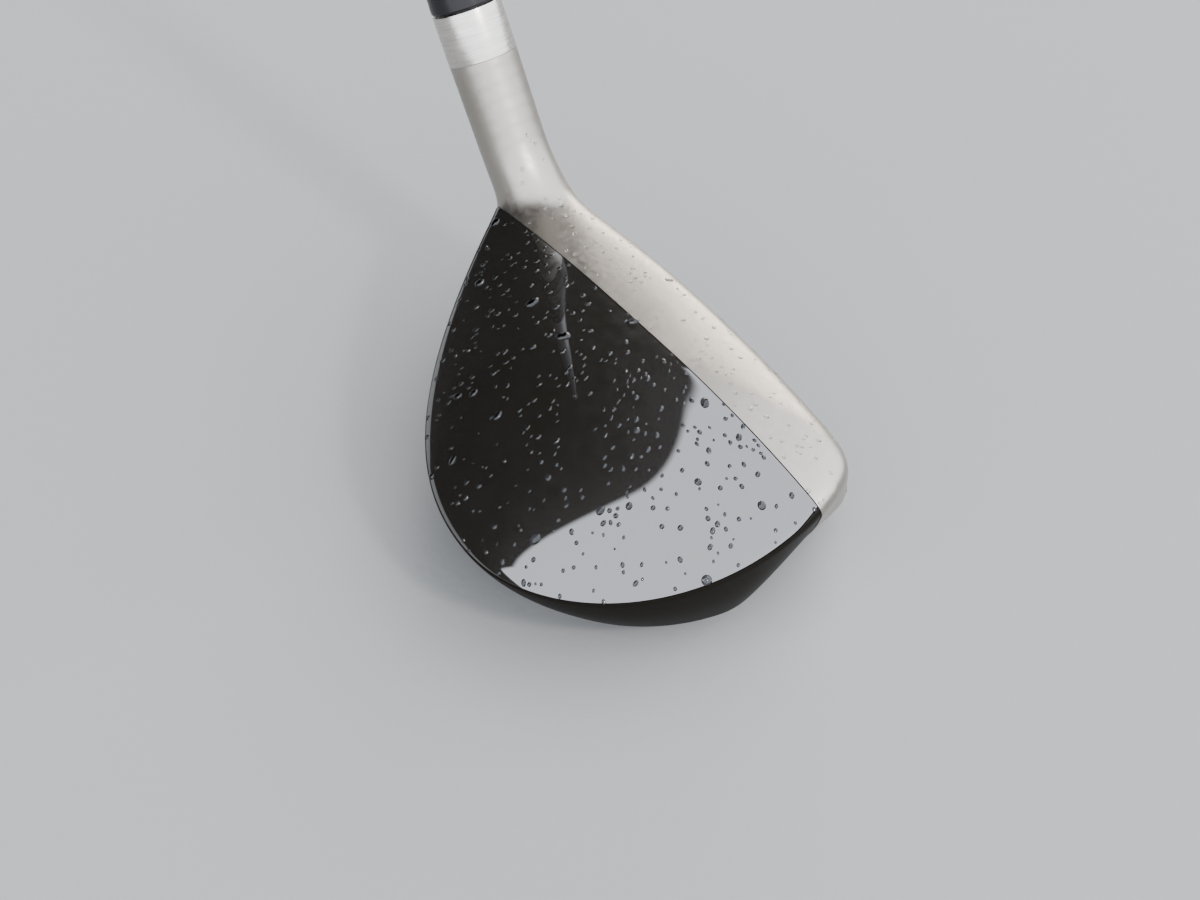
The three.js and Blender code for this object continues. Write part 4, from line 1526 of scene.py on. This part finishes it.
@dataclass
class ShaftAssembly:
    """Everything on the shaft's axis above the hosel."""

    hosel_radius: float = 0.00675
    bore_radius: float = 0.005
    edge: float = 0.0003
    ferrule_top_radius: float = 0.0055
    ferrule_fullness: float = 1.4
    ferrule_steps: int = 60
    groove_shares: tuple[float, ...] = (0.30, 0.38)
    groove_half_share: float = 0.02
    groove_depth: float = 0.00025
    tip_radius: float = 0.0047
    butt_radius: float = 0.0076
    tip_parallel: float = 0.075
    shaft_wall: float = 0.0014
    grip_mouth_radius: float = 0.0094
    grip_butt_radius: float = 0.0126
    grip_bore_mouth: float = 0.0078
    grip_bore_butt: float = 0.0087
    grip_steps: int = 240
    grip_around: int = 128
    mouth_bead: float = 0.0004
    mouth_bead_share: float = 0.02
    band_count: int = 5
    band_pitch: float = 0.004
    band_half_width: float = 0.0009
    band_depth: float = 0.00045
    band_from_mouth: float = 0.012
    band_from_butt: float = 0.030
    vent_radius: float = 0.001
    plug_inset: float = 0.0034
    plug_length: float = 0.006
    ledge_width: float = 0.0006
    lip_inset: float = 0.0004
    lip_height: float = 0.0024
    lip_round: float = 0.0016
    lip_fall: float = 0.0022
    lip_flat: float = 0.0008
    lip_steps: int = 8
    crown_round: float = 0.0048
    ring_outer: float = 0.0075
    ring_inner: float = 0.0061
    ring_groove: float = 0.0004
    ring_slope: float = 0.0003

    def build(self, finishes: dict[str, bpy.types.Material]) -> None:
        """Builds collar, ferrule, shaft, grip and cap.

        Args:
            finishes: Materials by their slots.
        """
        matrix = shaft_matrix()
        self.collar(matrix, finishes["turned_steel"])
        self.ferrule(matrix, finishes["ferrule_plastic"])
        self.shaft(matrix, finishes["composite"])
        self.grip(matrix, finishes["rubber"])
        self.cap(matrix, finishes["rubber"])

    def collar(self, matrix: Matrix, steel: bpy.types.Material) -> None:
        """Turns the bright collar on top of the hosel."""
        low, high = along_shaft("hosel_collar")
        profile = rounded([
            (self.bore_radius, low), (self.hosel_radius, low), (self.hosel_radius, high),
            (self.bore_radius, high),
        ], self.edge / 3)
        add_piece(
            "bright_collar", turned(profile, matrix), steel, Body.CLUB,
            ("hosel_collar",))

    def ferrule(self, matrix: Matrix, plastic: bpy.types.Material) -> None:
        """Turns the ferrule, with two fine grooves near its foot."""
        low, high = along_shaft("ferrule")
        profile = [(self.bore_radius, low), (self.hosel_radius - self.edge, low)]
        for step in range(1, self.ferrule_steps + 1):
            share = step / self.ferrule_steps
            swell = share ** self.ferrule_fullness
            radius = mix(self.hosel_radius, self.ferrule_top_radius, swell)
            for groove in self.groove_shares:
                near = max(0.0, 1.0 - abs(share - groove) / self.groove_half_share)
                radius -= self.groove_depth * near
            profile.append((radius, mix(low, high, share)))
        profile.append((self.bore_radius, high))
        add_piece(
            "tip_ferrule", turned(profile, matrix), plastic, Body.CLUB,
            ("ferrule",))

    def shaft(self, matrix: Matrix, composite: bpy.types.Material) -> None:
        """Turns the tapered tube of the shaft."""
        low, high = along_shaft("shaft")
        tip, taper = self.tip_radius, low + self.tip_parallel
        outer = [(tip, low), (tip, taper), (self.butt_radius, high)]
        inner = [(radius - self.shaft_wall, height) for radius, height in reversed(outer)]
        add_piece(
            "tapered_shaft", turned(outer + inner, matrix), composite, Body.CLUB,
            ("shaft",))

    def grip(self, matrix: Matrix, rubber: bpy.types.Material) -> None:
        """Turns the grip, with moulded rings at both ends."""
        low, high = along_shaft("grip")
        outer = []
        for step in range(self.grip_steps + 1):
            share = step / self.grip_steps
            height = mix(low, high, share)
            swell = smoothstep(-0.25, 1.2, share) * 1.17 - 0.09
            radius = mix(self.grip_mouth_radius, self.grip_butt_radius, swell)
            radius += self.mouth_bead * max(0.0, 1.0 - share / self.mouth_bead_share)
            outer.append((radius - self.ring_depth(height, low, high), height))
        profile = [(self.grip_bore_mouth, low)] + outer + [(self.grip_bore_butt, high)]
        add_piece(
            "moulded_grip", turned(profile, matrix, self.grip_around), rubber,
            Body.CLUB, ("grip",))

    def cap(self, matrix: Matrix, rubber: bpy.types.Material) -> None:
        """Turns the butt cap, with its rounded lip, its plug in the grip and its vent."""
        low, high = along_shaft("grip_cap")
        vent, plug = self.vent_radius, radius_on("grip_tape", matrix) - self.plug_inset
        ledge = low + self.plug_length
        crest = ledge + self.lip_height
        lip = radius_on("grip_cap", matrix) - self.lip_inset
        profile = [(vent, low), (plug, low), (plug, ledge)]
        profile.append((self.grip_butt_radius + self.ledge_width, ledge))
        turns = [math.pi / 2 * step / self.lip_steps for step in range(self.lip_steps + 1)]
        for turn in turns:
            radius = lip - self.lip_round * (1 - math.sin(turn))
            profile.append((radius, crest - self.lip_fall * math.cos(turn)))
        for turn in turns:
            radius = lip - self.crown_round * (1 - math.cos(turn))
            profile.append((radius, mix(crest + self.lip_flat, high, math.sin(turn))))
        outer, inner, depth = self.ring_outer, self.ring_inner, self.ring_groove
        profile += [
            (outer, high), (outer - self.ring_slope, high - depth),
            (inner + self.ring_slope, high - depth), (inner, high), (vent, high),
        ]
        add_piece(
            "butt_cap", turned(profile, matrix), rubber, Body.CLUB, ("grip_cap",))

    def ring_depth(self, along: float, low: float, high: float) -> float:
        """Gives the depth of the moulded rings at a height on the grip.

        Args:
            along: Distance up the shaft.
            low: Where the grip starts.
            high: Where it ends.

        Returns:
            Depth below the grip's plain surface.
        """
        for start in (low + self.band_from_mouth, high - self.band_from_butt):
            for index in range(self.band_count):
                away = abs(along - start - index * self.band_pitch)
                if away < self.band_half_width:
                    return self.band_depth * (1.0 - (away / self.band_half_width) ** 2)
        return 0.0


@dataclass
class Rain:
    """Rain drops that lie on one piece, as low domes."""

    name: str
    count: int
    seed: int = 11
    fine_radius: tuple[float, float] = (0.00022, 0.00048)
    large_radius: tuple[float, float] = (0.0005, 0.001)
    large_share: float = 0.09
    height: float = 0.62
    stretches: tuple[float, float] = (1.05, 1.6)
    most_spin: float = 0.5
    spacing: float = 1.3
    steepest: float = 0.45
    fall: float = 0.02
    tries_each: int = 20

    def build(self, ground: bpy.types.Object, water: bpy.types.Material) -> bpy.types.Object:
        """Scatters the drops over a piece.

        Args:
            ground: The piece that they lie on.
            water: Material of the drops.

        Returns:
            The piece that holds them all.
        """
        source = random.Random(self.seed)
        tree = BVHTree.FromObject(ground, bpy.context.evaluated_depsgraph_get())
        low, high = cad_head_box()
        drops = bmesh.new()
        bead = bmesh.new()
        bmesh.ops.create_uvsphere(bead, u_segments=12, v_segments=8, radius=1.0)
        pattern = mesh_from(bead, "bead")
        placed: list[tuple[Vector, float]] = []
        tries = 0
        while len(placed) < self.count and tries < self.tries_each * self.count:
            tries += 1
            large = source.random() < self.large_share
            radius = source.uniform(*(self.large_radius if large else self.fine_radius))
            start = Vector((
                source.uniform(low.x, high.x), source.uniform(low.y, high.y),
                high.z + self.fall))
            stretch = source.uniform(*self.stretches)
            spin = source.uniform(-self.most_spin, self.most_spin)
            place, normal, _, _ = tree.ray_cast(start, Vector((0, 0, -1)))
            if place is None or normal.z < self.steepest:
                continue
            space = self.spacing * radius
            if any((place - other).length < space + self.spacing * size
                   for other, size in placed):
                continue
            placed.append((place, radius))
            matrix = self.drop_matrix(place, normal, radius, stretch, spin)
            pattern.transform(matrix)
            drops.from_mesh(pattern)
            pattern.transform(matrix.inverted())
        bpy.data.meshes.remove(pattern)
        log.info("%s: %d drops", self.name, len(placed))
        return add_piece(self.name, drops, water, Body.CLUB, (), 180.0)

    def drop_matrix(
        self, place: Vector, normal: Vector, radius: float, stretch: float, spin: float,
    ) -> Matrix:
        """Works out the place, turn and size of one drop.

        Args:
            place: Where it lies.
            normal: The surface's normal there.
            radius: Its radius.
            stretch: How much longer it is than wide, down the slope.
            spin: Turn away from the slope, in radians.

        Returns:
            The matrix that takes a unit ball to the drop.
        """
        downhill = Vector((0, 0, -1)) - normal * -normal.z
        side = normal.cross(downhill).normalized()
        lengthwise = side.cross(normal)
        basis = Matrix((lengthwise, side, normal)).transposed().to_4x4()
        size = Matrix.Diagonal((radius * stretch, radius, radius * self.height, 1.0))
        return Matrix.Translation(place) @ basis @ Matrix.Rotation(spin, 4, "Z") @ size


def cad_head_box() -> tuple[Vector, Vector]:
    """Measures the box of the head without its hosel.

    Returns:
        Its lowest and highest corner.
    """
    boxes = [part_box(node) for node in ("crown_shell", "rear_body", "face_plate")]
    low = Vector([min(box[0][axis] for box in boxes) for axis in range(3)])
    high = Vector([max(box[1][axis] for box in boxes) for axis in range(3)])
    return low, high


# ---- Studio --------------------------------------------------------------------------------


@dataclass
class Studio:
    """Floor, lights and camera."""

    camera_place: Vector = field(default_factory=lambda: Vector((0.2869, -0.1949, 0.3503)))
    aim: Vector = field(default_factory=lambda: Vector((0.0020, -0.0010, 0.0200)))
    roll_deg: float = 1.79
    lens: float = 79.2
    floor_half: float = 30.0
    floor_gap: float = 0.00005
    sky_start: float = 0.035
    sky_limit: float = 0.63
    sky_middle: float = 0.2
    sky_bends: tuple[tuple[float, float], ...] = ((2.0, 0.8), (0.5, 0.6))
    sky_softness: float = 0.016
    bright_sky: Colour = (4.8, 4.98, 5.4)
    dim_sky: Colour = (0.035, 0.034, 0.034)
    backdrop: Colour = (0.6, 0.61, 0.62)

    def floor(self) -> None:
        """Lays the floor just under the sole."""
        sheet = bmesh.new()
        bmesh.ops.create_grid(sheet, x_segments=2, y_segments=2, size=self.floor_half)
        bmesh.ops.translate(sheet, verts=sheet.verts[:], vec=(0.0, 0.0, -self.floor_gap))
        mesh = mesh_from(sheet, "floor")
        mesh.materials.append(StudioPaper().make())
        floor = bpy.data.objects.new("floor", mesh)
        bpy.context.scene.collection.objects.link(floor)

    def lamp(
        self, name: str, place: Vector, aim: Vector, size: tuple[float, float], power: float,
        tint: Colour,
    ) -> None:
        """Hangs a soft rectangular light.

        Args:
            name: Name of the light.
            place: Where its middle hangs.
            aim: Where it points.
            size: Its width and height.
            power: Its power in watts.
            tint: Its colour.
        """
        light = bpy.data.lights.new(name, "AREA")
        light.shape = "RECTANGLE"
        light.size, light.size_y = size
        light.energy = power
        light.color = tint
        hung = bpy.data.objects.new(name, light)
        hung.location = place
        hung.rotation_euler = (aim - place).to_track_quat("-Z", "Y").to_euler()
        bpy.context.scene.collection.objects.link(hung)

    def sky(self) -> None:
        """Makes a soft sky that is bright over the toe and dim over the heel.

        The edge between them is a curve that bends round the zenith, steeper towards the target.
        A direction is bright where x + start z + the two bends in y is above zero, and where
        x + limit z is, too.
        """
        world = bpy.data.worlds.new("sky")
        world.use_nodes = True
        tree = world.node_tree

        def math_node(operation: str, *values: object) -> bpy.types.NodeSocket:
            node = tree.nodes.new("ShaderNodeMath")
            node.operation = operation
            for socket, value in zip(node.inputs, values):
                if isinstance(value, bpy.types.NodeSocket):
                    tree.links.new(value, socket)
                else:
                    socket.default_value = value
            return node.outputs["Value"]

        split = tree.nodes.new("ShaderNodeSeparateXYZ")
        direction = tree.nodes.new("ShaderNodeTexCoord").outputs["Generated"]
        tree.links.new(direction, split.inputs["Vector"])
        x, y, z = split.outputs
        shifted = math_node("MULTIPLY_ADD", z, self.sky_middle, y)
        total = math_node("MULTIPLY_ADD", z, self.sky_start, x)
        for clip, (steepness, roundness) in zip(("MAXIMUM", "MINIMUM"), self.sky_bends):
            side = math_node(clip, shifted, 0.0)
            rounding = math_node("MULTIPLY", z, roundness)
            square = math_node("MULTIPLY", rounding, rounding)
            squares = math_node("MULTIPLY_ADD", side, side, square)
            rise = math_node("SUBTRACT", math_node("SQRT", squares), rounding)
            total = math_node("MULTIPLY_ADD", rise, steepness, total)
        total = math_node("MINIMUM", total, math_node("MULTIPLY_ADD", z, self.sky_limit, x))
        edge = tree.nodes.new("ShaderNodeMapRange")
        edge.interpolation_type = "SMOOTHSTEP"
        ends = (-self.sky_softness, self.sky_softness, 0.0, 1.0)
        for socket, value in zip(edge.inputs[1:5], ends):
            socket.default_value = value
        tree.links.new(total, edge.inputs["Value"])
        colour = tree.nodes.new("ShaderNodeMixRGB")
        colour.inputs["Color1"].default_value = (*self.dim_sky, 1.0)
        colour.inputs["Color2"].default_value = (*self.bright_sky, 1.0)
        tree.links.new(edge.outputs["Result"], colour.inputs["Fac"])
        seen = tree.nodes.new("ShaderNodeMixRGB")
        seen.inputs["Color2"].default_value = (*self.backdrop, 1.0)
        direct = tree.nodes.new("ShaderNodeLightPath").outputs["Is Camera Ray"]
        tree.links.new(direct, seen.inputs["Fac"])
        tree.links.new(colour.outputs["Color"], seen.inputs["Color1"])
        tree.links.new(seen.outputs["Color"], tree.nodes["Background"].inputs["Color"])
        bpy.context.scene.world = world

    def lights(self) -> None:
        """Sets the sky, a soft light in front of the face and a smaller one past the toe."""
        self.sky()
        self.lamp(
            "front_fill", Vector((-0.85, 1.15, 0.42)), Vector((-0.02, 0.02, 0.03)), (0.7, 0.5),
            18.0, (1.0, 0.95, 0.88))
        self.lamp(
            "toe_key", Vector((1.5, 0.2, 1.3)), Vector((0.0, 0.0, 0.03)), (0.22, 0.22),
            26.0, (1.0, 0.97, 0.93))

    def camera(self) -> None:
        """Places the camera."""
        data = bpy.data.cameras.new("camera")
        data.lens = self.lens
        data.sensor_width = 36.0
        data.clip_start, data.clip_end = 0.01, 50.0
        camera = bpy.data.objects.new("camera", data)
        turn = (self.aim - self.camera_place).to_track_quat("-Z", "Y").to_matrix().to_4x4()
        roll = Matrix.Rotation(math.radians(-self.roll_deg), 4, "Z")
        camera.matrix_world = Matrix.Translation(self.camera_place) @ turn @ roll
        bpy.context.scene.collection.objects.link(camera)
        bpy.context.scene.camera = camera

    def build(self) -> None:
        """Builds the whole studio."""
        self.floor()
        self.lights()
        self.camera()


def dress_inner_nodes(finishes: dict[str, bpy.types.Material]) -> None:
    """Gives the pieces inside the head and shaft their materials.

    Args:
        finishes: Materials by their slots.
    """
    slots = {part["node"]: part["material_slot"] for part in frame["record"]["subparts"]}
    for name in ("rear_ballast", "toe_ballast", "hot_melt_pad", "hosel_stop",
                 "tip_weight", "grip_tape"):
        node = frame["nodes"][name]
        node.data.materials.clear()
        node.data.materials.append(finishes[slots[name]])


def main() -> None:
    """Builds the club and its studio."""
    logging.basicConfig(level=logging.INFO, format="%(message)s")
    Studio().build()
    form = HeadForm()
    finishes = {
        "blasted_steel": BlastedSteel().make(),
        "face_steel": MilledFace().make(),
        "turned_steel": TurnedSteel().make(shaft_matrix()),
        "black_lacquer": BlackLacquer().make(),
        "ferrule_plastic": GlossPlastic().make(),
        "composite": Composite().make(shaft_matrix()),
        "rubber": MouldedRubber().make(shaft_matrix()),
        "brass": BRASS.make(),
        "ballast": BALLAST.make(),
        "hot_melt": HOT_MELT.make(),
        "tape": TAPE.make(),
        "badge": BADGE.make(),
    }
    window = FaceWindow(form)
    front = FrontBody(form).build(finishes["blasted_steel"], window)
    FacePlate(form, window).build(finishes["face_steel"])
    crown = Crown(form).build(finishes["black_lacquer"])
    skirt_lacquer = BlackLacquer("skirt_lacquer", coat_ior=1.3, coat=0.22, under_gloss=0.0)
    RearBody(form).build(skirt_lacquer.make())
    SoleBadge(form).build(finishes["badge"])
    WeightPort().build(form, TurnedSteel("port_steel").make(port_matrix()), SEAL.make())
    ShaftAssembly().build(finishes)
    dress_inner_nodes(finishes)
    # The crown's drops get a dark tint: painted shade, so that they look dark where the crown mirrors the bright
    # sky.
    Rain("crown_drops", 420).build(crown, RainWater("shade_tinted_water", (0.12, 0.125, 0.135)).make())
    fine = Rain("front_drops", 130, 5, (0.00018, 0.00034), (0.0004, 0.0006), 0.08, 0.5)
    fine.build(front, RainWater().make())


if __name__ == "__main__":
    main()
